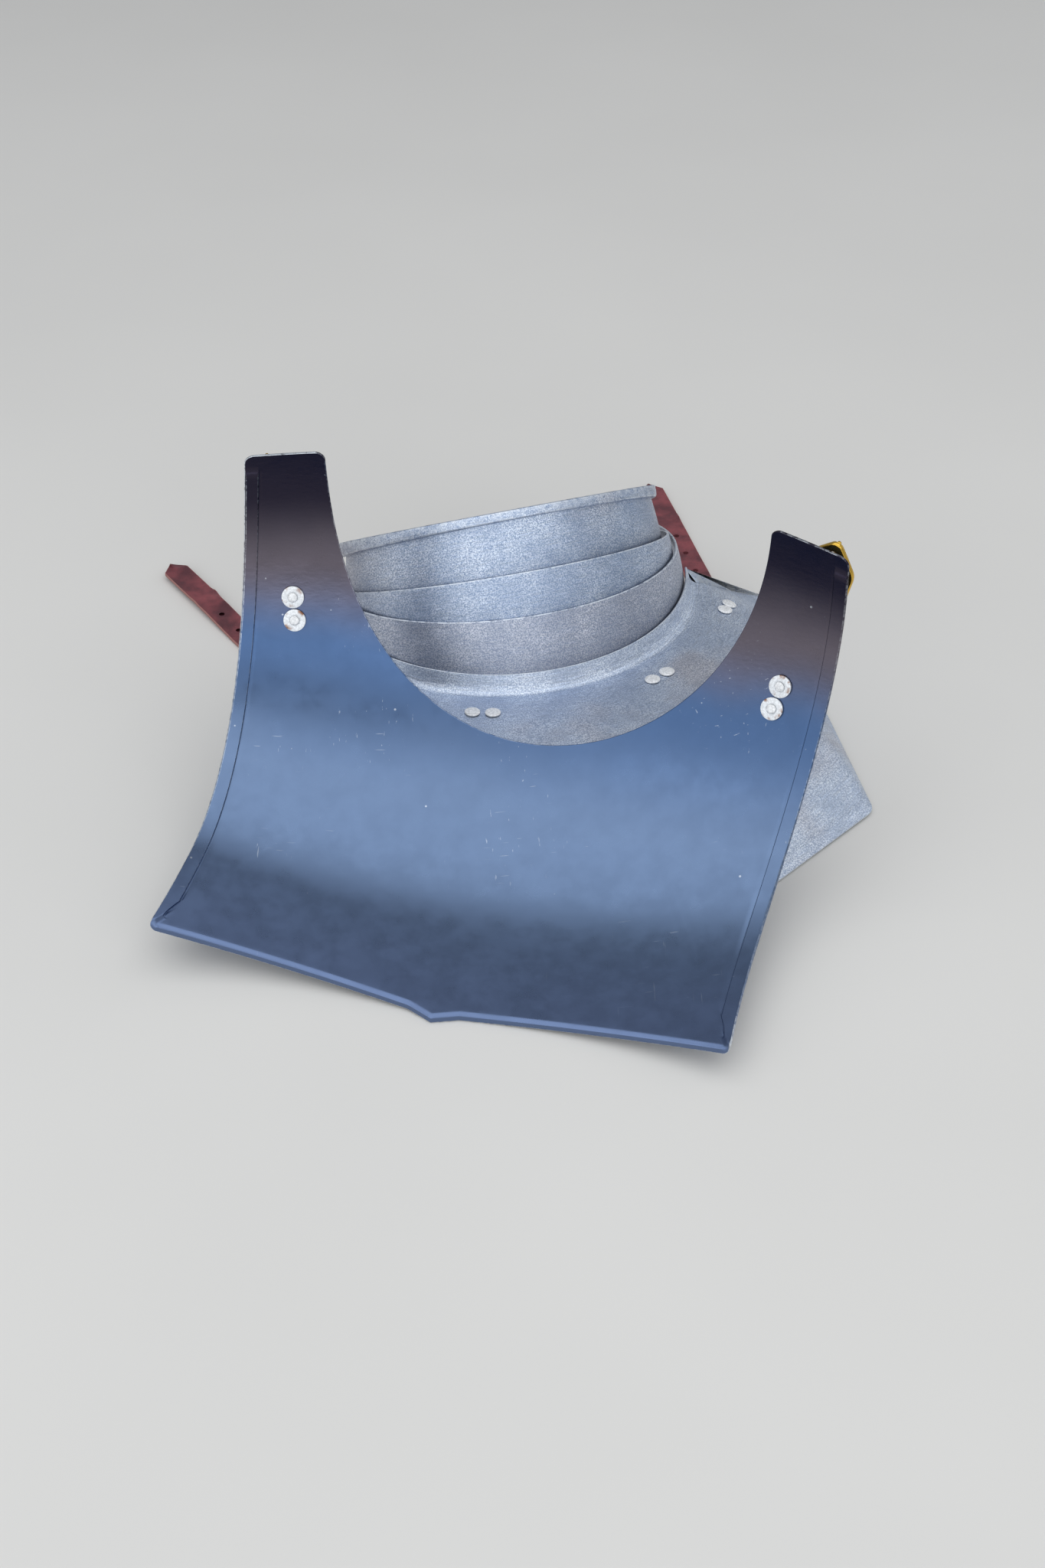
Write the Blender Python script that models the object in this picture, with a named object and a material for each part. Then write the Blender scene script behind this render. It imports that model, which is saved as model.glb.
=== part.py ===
"""Steel gorget, unbuckled: the front plate with its nested neck lames stands on its tip and shoulders,
and the back plate lies before it, hollow side up, with both billet straps free on the floor.

Metres, +Z up. The front plate's own frame has X across, Y to the wearer's back and Z up the neck.
The back plate's own frame has X across, Y up the wearer's back and Z to the inside.
"""

from math import atan2, cos, pi, radians, sin

import bmesh
import bpy
import numpy as np
from mathutils import Matrix, Vector
from mathutils.bvhtree import BVHTree

# Stock and fits
SHEET = 0.0012
LEATHER = 0.002
FIT = 0.0003

# Collar: half width and half depth of the neck inside the rim's crease, and the height at the front
NECK_HALF_WIDTH = 0.0847
NECK_HALF_DEPTH = 0.0677
COLLAR_HEIGHT = 0.0948
RIM_FLARE = 0.0032
RIM_ROLL = 0.0034
LAME_PLAY = 0.0027
LAME_FLARE = 0.0031
LAME_END_ANGLE = radians(98)

# Heights of the collar's edges above the shoulder, as shares of COLLAR_HEIGHT: at the side, at the front
COLLAR_EDGES = {
    "rim": (0.458, 0.542),
    "rim_crease": (0.381, 0.488),
    "top_foot": (0.135, 0.108),
    "middle_top": (0.198, 0.204),
    "middle_foot": (0.105, -0.127),
    "bottom_top": (0.186, -0.033),
    "bottom_foot": (0.032, -0.417),
    "flange_top": (0.103, -0.337),
    "flange_base": (0.0, -0.458),
}
# Play to the lame above, as shares of LAME_PLAY, and flare down to the foot, as shares of LAME_FLARE:
# play at the side, play at the front, flare at the side, flare at the front
NESTING = {
    "middle": (1.0, 0.41, 0.29, 0.13),
    "bottom": (0.63, 0.23, 0.48, 0.13),
    "flange": (0.41, 0.2, 2.48, 1.39),
}
TOP_LAME_FRONT_FLARE = 0.52
RIM_FRONT_FLARE = 0.56

# Front plate: its tip, its front corners and the outer ends of its shoulders
TIP_REACH = 0.2196
TIP_DROP = 0.1454
CORNER_HALF_WIDTH = 0.1223
CORNER_REACH = 0.1669
CORNER_DROP = 0.1173
SHOULDER_HALF_WIDTH = 0.1526
SHOULDER_BACK = 0.0041
SHOULDER_DROP = 0.0309
CORNER_ROUND = 0.005
TIP_ROUND = 0.008
PLATE_BORDER = 0.008
BORDER_BEVEL = 0.002
BORDER_SINK = 0.0006
CORNER_ANGLE = radians(59.7)
PLATE_END_ANGLE = radians(74.8)
CROWN_FRONT = radians(17.8)
CROWN_SIDE = radians(23.7)

# Rivets
RIVET_HEAD = 0.004
RIVET_HEIGHT = 0.0011
RIVET_SHANK = 0.0015
RIVET_CLENCH = 0.0026
CLENCH_HEIGHT = 0.0009
RIVET_PITCH = 0.0104
RIVET_ROW = 0.0159
LEATHER_BOW = (RIVET_PITCH / 2 + RIVET_CLENCH) ** 2 / 2 / NECK_HALF_DEPTH
LAME_RIVET_ANGLE = radians(26.3)
STRAP_RIVET_ANGLE = radians(67.2)

# Billet straps
STRAP_WIDTH = 0.0148
STRAP_TIP = 0.007
STRAP_ROOT = 0.012
STRAP_DROP = 0.046
STRAP_CLEAR = 0.002
STRAP_BOW = STRAP_WIDTH**2 / 8 / NECK_HALF_DEPTH
HOLE_RADIUS = 0.0016
HOLE_FROM_TIP = 0.06
HOLE_PITCH = 0.019
HOLE_COUNT = 3
# side of the neck, heading of the drop, heading on the floor, length past the shoulder's edge
STRAPS = {
    "right": (1, radians(100), radians(103.5), 0.151),
    "left": (-1, radians(128), radians(125.5), 0.163),
}

# Back plate
BACK_HALF_WIDTH = 0.1351
BACK_BELOW_NECK = 0.1545
ARM_TOP = 0.135
# Half widths of the side's curve from the bottom to the arm's top, as shares of BACK_HALF_WIDTH
SIDE_CURVE = (1.0, 0.96, 1.127, 1.06)
NECKLINE_HALF_WIDTH = 0.1057
NECKLINE_HEIGHT = 0.138
NECKLINE_POWERS = (1.988, 2.422)
NECKLINE_TURN = radians(62)
CURL_RADIUS = 0.143
CURL_START = -0.1054
CROSS_RADIUS = 0.5
BOTTOM_ARCH = 0.0053
KEEL_TIP = 0.003
KEEL_HALF_WIDTH = 0.012
ARM_ROUND = 0.0042
EDGE_ROUND = 0.0009
HEM = 0.0068
BOTTOM_FLANGE = 0.0036

# Washers, chapes and buckles of the back plate
WASHER_RADIUS = 0.0054
WASHER_THICKNESS = 0.0011
WASHER_FROM_SIDE = 0.017
WASHER_ACROSS = BACK_HALF_WIDTH - WASHER_FROM_SIDE
WASHER_UP = 0.04
CHAPE_TILT = radians(11)
CHAPE_TAIL = 0.014
# side of the plate, distance of the buckle's bar from the lower washer
CHAPES = {"right": (1, 0.0575), "left": (-1, 0.0515)}
BUCKLE_EAVES = 0.019
BUCKLE_LENGTH = 0.0309
BUCKLE_HALF_WIDTH = 0.011
BUCKLE_ROD = 0.0016
TONGUE_ROD = 0.0012
CHAPE_HALF_WIDTH = BUCKLE_HALF_WIDTH - BUCKLE_ROD - 2 * FIT

# How the two plates lie
FRONT_YAW = radians(19.3)
BACK_TURN = (radians(3.9), radians(1.9), radians(-15.2))
BACK_ASIDE = -0.0194
PLATES_APART = 0.0006

STEEL_DARK = ("aged_steel", (0.10, 0.105, 0.12), 0.38, 1.0)
STEEL_BLUED = ("blued_steel", (0.055, 0.062, 0.08), 0.3, 1.0)
STEEL_BRIGHT = ("bright_steel", (0.45, 0.45, 0.46), 0.35, 1.0)
ZINC = ("zinc", (0.55, 0.57, 0.58), 0.45, 1.0)
BRASS = ("brass", (0.62, 0.42, 0.16), 0.35, 1.0)
HIDE = ("leather", (0.03, 0.02, 0.016), 0.6, 0.0)


def material(look):
    """The Principled material of this name, made once."""
    name, colour, roughness, metallic = look
    found = bpy.data.materials.get(name)
    if found:
        return found
    made = bpy.data.materials.new(name)
    made.use_nodes = True
    shader = made.node_tree.nodes["Principled BSDF"]
    shader.inputs["Base Color"].default_value = (*colour, 1)
    shader.inputs["Roughness"].default_value = roughness
    shader.inputs["Metallic"].default_value = metallic
    return made


def clear_scene():
    for old in list(bpy.data.objects):
        bpy.data.objects.remove(old, do_unlink=True)


def unit(vector):
    return vector / np.linalg.norm(vector)


def solid(name, points, faces, look, parent=None, cutter=False):
    """One closed object from points and faces, its normals turned outwards."""
    mesh = bpy.data.meshes.new(name)
    mesh.from_pydata([tuple(p) for p in points], [], faces)
    work = bmesh.new()
    work.from_mesh(mesh)
    bmesh.ops.recalc_face_normals(work, faces=work.faces)
    work.to_mesh(mesh)
    work.free()
    made = bpy.data.objects.new(name, mesh)
    bpy.context.scene.collection.objects.link(made)
    made.parent = parent
    if cutter:
        made.hide_render = True
        made.display_type = "WIRE"
    else:
        mesh.materials.append(material(look))
        mesh.shade_smooth()
        mesh.set_sharp_from_angle(angle=radians(35))
    return made


def shell_faces(rows, columns):
    """Faces of a closed wall: a face grid, a back grid behind it, and the four edges between them."""
    def quad(*corners):
        return [side * rows * columns + row * columns + column for side, row, column in corners]

    faces = []
    for row in range(rows - 1):
        for column in range(columns - 1):
            right, up = column + 1, row + 1
            faces.append(quad((0, row, column), (0, row, right), (0, up, right), (0, up, column)))
            faces.append(quad((1, up, column), (1, up, right), (1, row, right), (1, row, column)))
    for column in range(columns - 1):
        for row in (0, rows - 1):
            faces.append(quad((0, row, column), (0, row, column + 1), (1, row, column + 1), (1, row, column)))
    for row in range(rows - 1):
        for column in (0, columns - 1):
            faces.append(quad((0, row, column), (0, row + 1, column), (1, row + 1, column), (1, row, column)))
    return faces


def shell(name, face, back, look, parent=None):
    rows, columns = face.shape[:2]
    points = np.concatenate([face.reshape(-1, 3), back.reshape(-1, 3)])
    return solid(name, points, shell_faces(rows, columns), look, parent)


def behind(face, depth):
    """The grid that lies this deep behind a face grid, mitred where its rows bend."""
    along = np.gradient(face, axis=1)
    steps = np.diff(face, axis=0)
    before = np.concatenate([steps[:1], steps])
    after = np.concatenate([steps, steps[-1:]])
    normals = [np.cross(along, step) for step in (before, after)]
    first, second = [n / np.linalg.norm(n, axis=2, keepdims=True) for n in normals]
    middle = first + second
    middle /= np.linalg.norm(middle, axis=2, keepdims=True)
    mitre = 1 / np.maximum(0.6, (middle * first).sum(axis=2, keepdims=True))
    return face + middle * mitre * depth


def turned(name, profile, place, axis, look, parent=None, sides=9, cutter=False):
    """A turned solid: profile rows are (radius, height along the axis), with a flat face at each end."""
    turn = Vector((0, 0, 1)).rotation_difference(Vector(axis)).to_matrix()
    points = []
    for radius, height in profile:
        for side in range(sides):
            angle = 2 * pi * side / sides
            spot = turn @ Vector((radius * cos(angle), radius * sin(angle), height))
            points.append(Vector(place) + spot)
    faces = [list(range(sides)), list(range((len(profile) - 1) * sides, len(profile) * sides))]
    for ring in range(len(profile) - 1):
        for side in range(sides):
            after = (side + 1) % sides
            low, high = ring * sides, (ring + 1) * sides
            faces.append([low + side, low + after, high + after, high + side])
    return solid(name, points, faces, look, parent, cutter)


def drill(target, name, place, axis, radius, reach, parent=None):
    """Bores a round hole through the target."""
    profile = ((radius, -reach), (radius, reach))
    bit = turned(f"{name}_bit", profile, place, axis, None, parent, 8, True)
    cut(target, bit)


def cut(target, tool, operation="DIFFERENCE"):
    boolean = target.modifiers.new(tool.name, "BOOLEAN")
    boolean.operation = operation
    boolean.object = tool
    boolean.solver = "EXACT"


def collar_ring(edge, half_width, half_depth):
    side, front = COLLAR_EDGES[edge]
    return half_width, half_depth, side * COLLAR_HEIGHT, front * COLLAR_HEIGHT


def collar_rings():
    """Top and foot ring of each lame and of the flange, nested outwards from the neck."""
    across, deep = NECK_HALF_WIDTH, NECK_HALF_DEPTH
    rings = {"rim_crease": collar_ring("rim_crease", across, deep)}
    rim_deep = deep + RIM_FLARE * RIM_FRONT_FLARE
    rings["rim"] = collar_ring("rim", across + RIM_FLARE, rim_deep)
    across += LAME_FLARE
    deep += LAME_FLARE * TOP_LAME_FRONT_FLARE
    rings["top_foot"] = collar_ring("top_foot", across, deep)
    for piece, (side_play, front_play, side_flare, front_flare) in NESTING.items():
        across += SHEET + LAME_PLAY * side_play
        deep += SHEET + LAME_PLAY * front_play
        rings[f"{piece}_top"] = collar_ring(f"{piece}_top", across, deep)
        across += LAME_FLARE * side_flare
        deep += LAME_FLARE * front_flare
        foot = f"{piece}_base" if piece == "flange" else f"{piece}_foot"
        rings[foot] = collar_ring(foot, across, deep)
    return rings


def on_ring(ring, angle):
    half_width, half_depth, side, front = ring
    height = side + (front - side) * cos(angle)
    return np.array((half_width * sin(angle), -half_depth * cos(angle), height))


def between(first, second, share):
    return first + (second - first) * share


def make_lame(name, top, foot, parent, rim=None):
    """A half-round lame. The top one carries the rim, rolled outwards and flattened."""
    angles = np.linspace(-LAME_END_ANGLE, LAME_END_ANGLE, 33)
    columns, backs = [], []
    for angle in angles:
        head, base = on_ring(top, angle), on_ring(foot, angle)
        outward = unit(np.array((sin(angle) / top[0], -cos(angle) / top[1], 0)))
        rows = [between(head, base, share) for share in (0, 0.5, 1)]
        inner = [row - outward * SHEET for row in rows]
        if rim:
            brim = on_ring(rim, angle)
            rise = brim - head
            lip = outward * RIM_ROLL
            thick = outward * SHEET
            rows = [brim - thick, brim, head + rise * 0.12 + lip * 0.75, head + lip * 0.45] + rows
            inner = [head + rise * 0.5 - thick, head + rise * 0.25 - thick] + inner
            inner = [brim - lip, brim - lip - rise * 0.25] + inner
        columns.append(rows)
        backs.append(inner)
    face = np.array(columns).transpose(1, 0, 2)
    back = np.array(backs).transpose(1, 0, 2)
    return shell(name, face, back, STEEL_DARK, parent)


def rounded(before, corner, after, share):
    """Point of the arc that cuts a corner, as a share of the way round it."""
    return (1 - share) ** 2 * before + 2 * share * (1 - share) * corner + share**2 * after


def plate_edge(angle):
    """Point of the front plate's outline where the line at this angle round the neck ends."""
    tip = np.array((0, -TIP_REACH, -TIP_DROP))
    corner = np.array((CORNER_HALF_WIDTH, -CORNER_REACH, -CORNER_DROP))
    shoulder = np.array((SHOULDER_HALF_WIDTH, SHOULDER_BACK, -SHOULDER_DROP))
    mirror = np.array((-1 if angle < 0 else 1, 1, 1))
    turn = abs(angle)
    front_rate = CORNER_ANGLE / np.linalg.norm(corner - tip)
    side_rate = (PLATE_END_ANGLE - CORNER_ANGLE) / np.linalg.norm(shoulder - corner)
    tip_turn = TIP_ROUND * front_rate
    start, end = CORNER_ANGLE - CORNER_ROUND * front_rate, CORNER_ANGLE + CORNER_ROUND * side_rate
    if turn < tip_turn:
        far = between(tip, corner, tip_turn / CORNER_ANGLE)
        spot = rounded(far * (-1, 1, 1), tip, far, 0.5 + 0.5 * turn / tip_turn)
    elif turn < start:
        spot = between(tip, corner, turn / CORNER_ANGLE)
    elif turn <= end:
        before = between(tip, corner, start / CORNER_ANGLE)
        after = between(corner, shoulder, CORNER_ROUND * side_rate / (PLATE_END_ANGLE - CORNER_ANGLE))
        spot = rounded(before, corner, after, (turn - start) / (end - start))
    else:
        spot = between(corner, shoulder, (turn - CORNER_ANGLE) / (PLATE_END_ANGLE - CORNER_ANGLE))
    return spot * mirror


def plate_point(base, angle, share):
    """Point of the front plate's outside, as a share of the way from the flange to the outline."""
    start, end = on_ring(base, angle), plate_edge(angle)
    level = unit((end - start) * (1, 1, 0))
    crown = CROWN_FRONT + (CROWN_SIDE - CROWN_FRONT) * min(1, abs(angle) / PLATE_END_ANGLE)
    half = np.linalg.norm(end - start) / 2
    middle = start + half * (level * cos(crown) - np.array((0, 0, sin(crown))))
    return rounded(start, middle, end, share)


def plate_normal(base, angle, share):
    """Outward normal of the front plate."""
    step = 0.01
    outward = plate_point(base, angle, share + step) - plate_point(base, angle, share - step)
    sideways = plate_point(base, angle + step, share) - plate_point(base, angle - step, share)
    return unit(np.cross(outward, sideways))


def row_share(base, angle, distance):
    """Share of the way at which the front plate is this far out from its flange."""
    return distance / np.linalg.norm(plate_edge(angle) - on_ring(base, angle))


def run_per_turn(base, angle):
    """Length along the rivet row for each radian round the neck."""
    share, step = row_share(base, angle, RIVET_ROW), 0.01
    before, after = plate_point(base, angle - step, share), plate_point(base, angle + step, share)
    return np.linalg.norm(after - before) / step / 2


def plate_angles():
    """Angles round the neck of the front plate's lines, closer together where the outline turns."""
    tip = np.linspace(0, 0.9, 10) * CORNER_ANGLE
    turn = np.array((0.96, 1)) * CORNER_ANGLE
    side = np.array((0.026, *np.linspace(0.14, 1, 7)))
    half = np.concatenate([tip, turn, CORNER_ANGLE + side * (PLATE_END_ANGLE - CORNER_ANGLE)])
    return np.concatenate([-half[:0:-1], half])


def make_front_plate(rings, parent):
    """Upright flange, the crease at its foot, and the crowned plate with its bevelled border."""
    top, base = rings["flange_top"], rings["flange_base"]
    columns = []
    for angle in plate_angles():
        head, foot = on_ring(top, angle), on_ring(base, angle)
        drop = foot - head
        level = drop * (1, 1, 0)
        fall = drop - level
        wall = head + level * 0.1 + fall * 0.55
        bend = head + level * 0.3 + fall
        rows = [head, wall, rounded(wall, bend, foot, 0.35), rounded(wall, bend, foot, 0.7)]
        edge = plate_edge(angle)
        slope = edge - plate_point(base, angle, 0.98)
        trend = plate_edge(angle + 0.002) - plate_edge(angle - 0.002)
        if abs(angle) >= PLATE_END_ANGLE - 0.002:
            trend = plate_edge(angle) - plate_edge(angle * 0.998)
        lean = np.linalg.norm(np.cross(unit(slope), unit(trend)))
        share_of = 0.02 / np.linalg.norm(slope) / lean
        border = 1 - PLATE_BORDER * share_of
        for share in (0, 0.1, 0.25, 0.42, 0.6, 0.8, 1):
            rows.append(plate_point(base, angle, share * border))
        for share in (1 - (PLATE_BORDER - BORDER_BEVEL) * share_of, 1):
            spot = plate_point(base, angle, share)
            rows.append(spot - plate_normal(base, angle, min(share, 0.97)) * BORDER_SINK)
        columns.append(rows)
    face = np.array(columns).transpose(1, 0, 2)
    return shell("front_plate", face, behind(face, SHEET), STEEL_DARK, parent)


def rivet(name, place, axis, grip, parent, look=STEEL_BRIGHT, proud=True):
    """A rivet whose head sits on the face at place and whose clenched end closes a grip this thick."""
    low = -grip - FIT
    head = [(RIVET_HEAD, FIT), (RIVET_HEAD, FIT + RIVET_HEIGHT * 0.5), (RIVET_HEAD * 0.8, FIT + RIVET_HEIGHT)]
    profile = [(RIVET_CLENCH * 0.7, low - CLENCH_HEIGHT), (RIVET_CLENCH, low - CLENCH_HEIGHT * 0.55)]
    profile += [(RIVET_CLENCH, low), (RIVET_SHANK, low)]
    profile += [(RIVET_SHANK, FIT)] + head if proud else [(RIVET_SHANK, 0)]
    return turned(name, profile, place, axis, look, parent)


def make_front_rivets(rings, plate, leathers, parent):
    """Four pairs of rivets: two hold the lames' leathers and two hold the billet straps."""
    base = rings["flange_base"]
    pairs = {"lame_left": -LAME_RIVET_ANGLE, "lame_right": LAME_RIVET_ANGLE,
             "strap_left": -STRAP_RIVET_ANGLE, "strap_right": STRAP_RIVET_ANGLE}
    for pair, angle in pairs.items():
        for number, step in enumerate((-0.5, 0.5), 1):
            turn = angle + step * RIVET_PITCH / run_per_turn(base, angle)
            spot = row_share(base, turn, RIVET_ROW)
            place, axis = plate_point(base, turn, spot), plate_normal(base, turn, spot)
            name = f"rivet_{pair}_{number}"
            bow = LEATHER_BOW if pair in leathers else STRAP_BOW + FIT
            rivet(name, place, axis, SHEET + FIT + bow + LEATHER, parent)
            drill(plate, f"{name}_plate", place, axis, RIVET_SHANK + FIT, 0.004, parent)
            if pair in leathers:
                drill(leathers[pair], f"{name}_leather", place, axis, RIVET_SHANK + FIT, 0.008, parent)


def leather_path(rings, angle):
    """Line of a lame leather's middle, inside the lames and then out under the plate, with its outer side."""
    outward = unit(np.array((sin(angle) / NECK_HALF_WIDTH, -cos(angle) / NECK_HALF_DEPTH, 0)))
    inside = outward * (SHEET + FIT + LEATHER / 2)
    path = []
    crease, foot = on_ring(rings["rim_crease"], angle), on_ring(rings["top_foot"], angle)
    path.append((between(crease, foot, 0.55) - inside, outward))
    path.append((foot - inside, outward))
    for lame in ("middle", "bottom"):
        top, foot = on_ring(rings[f"{lame}_top"], angle), on_ring(rings[f"{lame}_foot"], angle)
        path.append((between(top, foot, 0.8) - inside, outward))
        path.append((foot - inside, outward))
    base = rings["flange_base"]
    below = path[-1][0].copy()
    below[2] = on_ring(base, angle)[2] - SHEET - FIT - LEATHER
    path.append((below, unit(outward + plate_normal(base, angle, 0.02))))
    for distance in (0.4, 0.7, 1, 1.4):
        share = row_share(base, angle, RIVET_ROW * distance)
        normal = plate_normal(base, angle, share)
        path.append((plate_point(base, angle, share) - normal * (SHEET + FIT + LEATHER / 2), normal))
    return path


def make_leather(side, rings, parent):
    """The hidden strip that the lames hang on, on one side of the throat."""
    name = "lame_left" if side < 0 else "lame_right"
    angle = side * LAME_RIVET_ANGLE
    path = leather_path(rings, angle)
    half = RIVET_PITCH
    face, back = [], []
    base = rings["flange_base"]
    round_neck = on_ring(base, angle + 0.01) - on_ring(base, angle - 0.01)
    for spot, normal in path:
        across = unit(round_neck - normal * (round_neck @ normal))
        row = [spot + across * offset - normal * offset**2 / (2 * NECK_HALF_DEPTH)
               for offset in (-half, 0, half)]
        face.append([point + normal * LEATHER / 2 for point in row])
        back.append([point - normal * LEATHER / 2 for point in row])
    return shell(f"leather_{name}", np.array(face), np.array(back), HIDE, parent)


def make_lame_rivets(rings, lames, leathers, parent):
    """Flush rivets that hold each lame's foot to the leathers, hidden by the next piece down."""
    for side, name in ((-1, "lame_left"), (1, "lame_right")):
        angle = side * LAME_RIVET_ANGLE
        outward = unit(np.array((sin(angle) / NECK_HALF_WIDTH, -cos(angle) / NECK_HALF_DEPTH, 0)))
        for piece in ("top", "middle", "bottom"):
            top = rings["rim_crease" if piece == "top" else f"{piece}_top"]
            place = between(on_ring(top, angle), on_ring(rings[f"{piece}_foot"], angle), 0.86)
            rivet(f"rivet_{piece}_{name[5:]}", place, outward, SHEET + FIT + LEATHER, parent, proud=False)
            for target in (lames[piece], leathers[name]):
                drill(target, f"{target.name}_{piece}_{name}", place, outward, RIVET_SHANK + FIT, 0.005, parent)


def ribbon(name, path, look, widths):
    """A leather strap along a path of (point, upper side, direction), each row with its own half width."""
    face, back = [], []
    for (spot, upper, heading), half in zip(path, widths):
        across = unit(np.cross(heading, upper))
        row = [spot + across * half * share for share in (-1, 1)]
        face.append([point + upper * LEATHER / 2 for point in row])
        back.append([point - upper * LEATHER / 2 for point in row])
    return shell(name, np.array(face), np.array(back), look)


def strap_path(rings, side, drop_heading, floor_heading, free_length, place):
    """Path of a billet strap: under the shoulder at its rivets, past the edge, down to the floor, along it."""
    base = rings["flange_base"]
    turn_matrix = np.array(place.to_3x3())
    origin = np.array(place.translation)
    run = run_per_turn(base, side * STRAP_RIVET_ANGLE)
    edge_run = (PLATE_END_ANGLE - STRAP_RIVET_ANGLE) * run + STRAP_CLEAR
    path = []
    under = SHEET + FIT + STRAP_BOW + LEATHER / 2
    for step in np.linspace(-STRAP_ROOT, edge_run, 7):
        turn = side * (STRAP_RIVET_ANGLE + step / run)
        spot = row_share(base, side * min(abs(turn), PLATE_END_ANGLE), RIVET_ROW)
        normal = plate_normal(base, turn, spot)
        point = plate_point(base, turn, spot) - normal * under
        path.append([turn_matrix @ point + origin, turn_matrix @ normal])
    leave = unit(path[-1][0] - path[-2][0])
    start = path[-1][0]
    land = start + np.array((cos(drop_heading), sin(drop_heading), 0)) * STRAP_DROP
    land[2] = LEATHER / 2
    floor = np.array((cos(floor_heading), sin(floor_heading), 0))
    pull = STRAP_DROP * 0.42
    controls = (start, start + leave * pull, land - floor * pull, land)
    root_normal = path[-1][1]
    samples = 9
    for number in range(1, samples + 1):
        s = number / samples
        weights = ((1 - s) ** 3, 3 * s * (1 - s) ** 2, 3 * s * s * (1 - s), s**3)
        spot = sum(weight * control for weight, control in zip(weights, controls))
        level = max(0, (s - 0.45) / 0.55)
        path.append([spot, unit(between(root_normal, np.array((0, 0, 1.0)), level))])
    spots = np.array([spot for spot, _ in path])
    used = np.linalg.norm(np.diff(spots[6:], axis=0), axis=1).sum()
    left = free_length - used
    for part in (0.12, 0.3, 0.5, 0.7, 0.85, 1 - STRAP_TIP / left, 1 - STRAP_TIP / left / 2, 1):
        path.append([land + floor * left * part, np.array((0, 0, 1.0))])
    spots = np.array([spot for spot, _ in path])
    headings = np.gradient(spots, axis=0)
    rows = []
    for (spot, upper), heading in zip(path, headings):
        heading = unit(heading)
        rows.append((spot, unit(upper - heading * (upper @ heading)), heading))
    return rows, land, floor, left


def make_strap(name, rings, row, place, parent):
    """A billet strap with its pointed tip, its buckle holes and the holes for its two rivets."""
    side, drop_heading, floor_heading, free_length = row
    path, land, floor, left = strap_path(rings, side, drop_heading, floor_heading, free_length, place)
    half = STRAP_WIDTH / 2
    widths = [half] * len(path[:-2]) + [half * 0.52, half * 0.08]
    strap = ribbon(f"billet_strap_{name}", path, HIDE, widths)
    for number in range(HOLE_COUNT):
        spot = land + floor * (left - HOLE_FROM_TIP - number * HOLE_PITCH)
        if left > HOLE_FROM_TIP + number * HOLE_PITCH + 2 * HOLE_RADIUS:
            drill(strap, f"{name}_hole_{number + 1}", spot, (0, 0, 1), HOLE_RADIUS, LEATHER * 2)
    base = rings["flange_base"]
    angle = side * STRAP_RIVET_ANGLE
    for number, step in enumerate((-0.5, 0.5), 1):
        turn = angle + step * RIVET_PITCH / run_per_turn(base, angle)
        spot = row_share(base, turn, RIVET_ROW)
        centre = place @ Vector(plate_point(base, turn, spot))
        axis = place.to_3x3() @ Vector(plate_normal(base, turn, spot))
        drill(strap, f"{name}_rivet_hole_{number}", centre, axis, RIVET_SHANK + FIT, 0.006)
    return strap


def back_point(across, up, lift=0.0):
    """Point of the back plate's inside, lifted this far off it towards the inside."""
    curl = max(up - CURL_START, 0) / CURL_RADIUS
    bow = across / CROSS_RADIUS
    rise = CROSS_RADIUS * (1 - cos(bow))
    along = CURL_RADIUS * sin(curl) if up > CURL_START else up - CURL_START
    height = CURL_RADIUS * (1 - cos(curl)) + rise * cos(curl)
    spot = np.array((CROSS_RADIUS * sin(bow), along - rise * sin(curl), height))
    return spot + lift * back_normal(across, up)


def back_normal(across, up):
    """Normal of the back plate, towards the inside."""
    curl = max(up - CURL_START, 0) / CURL_RADIUS
    bow = across / CROSS_RADIUS
    return np.array((-sin(bow), -cos(bow) * sin(curl), cos(bow) * cos(curl)))


def side_edge(share):
    """Side of the back plate, as a share of the way up from its bottom corner to the arm's top."""
    weights = ((1 - share) ** 3, 3 * share * (1 - share) ** 2, 3 * share**2 * (1 - share), share**3)
    half = BACK_HALF_WIDTH * sum(weight * width for weight, width in zip(weights, SIDE_CURVE))
    return np.array((half, -BACK_BELOW_NECK + (ARM_TOP + BACK_BELOW_NECK) * share))


def bottom_edge(share):
    """Bottom of the back plate, as a share of the way in from the corner to the middle."""
    across = BACK_HALF_WIDTH * (1 - share)
    arch = 4 * BOTTOM_ARCH * share * (1 - share)
    keel = KEEL_TIP * max(0, 1 - across / KEEL_HALF_WIDTH)
    return np.array((across, -BACK_BELOW_NECK + arch - keel))


def neckline(angle):
    first, second = NECKLINE_POWERS
    across = NECKLINE_HALF_WIDTH * max(cos(angle), 0) ** (2 / first)
    return np.array((across, NECKLINE_HEIGHT * (1 - sin(angle) ** (2 / second))))


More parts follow.
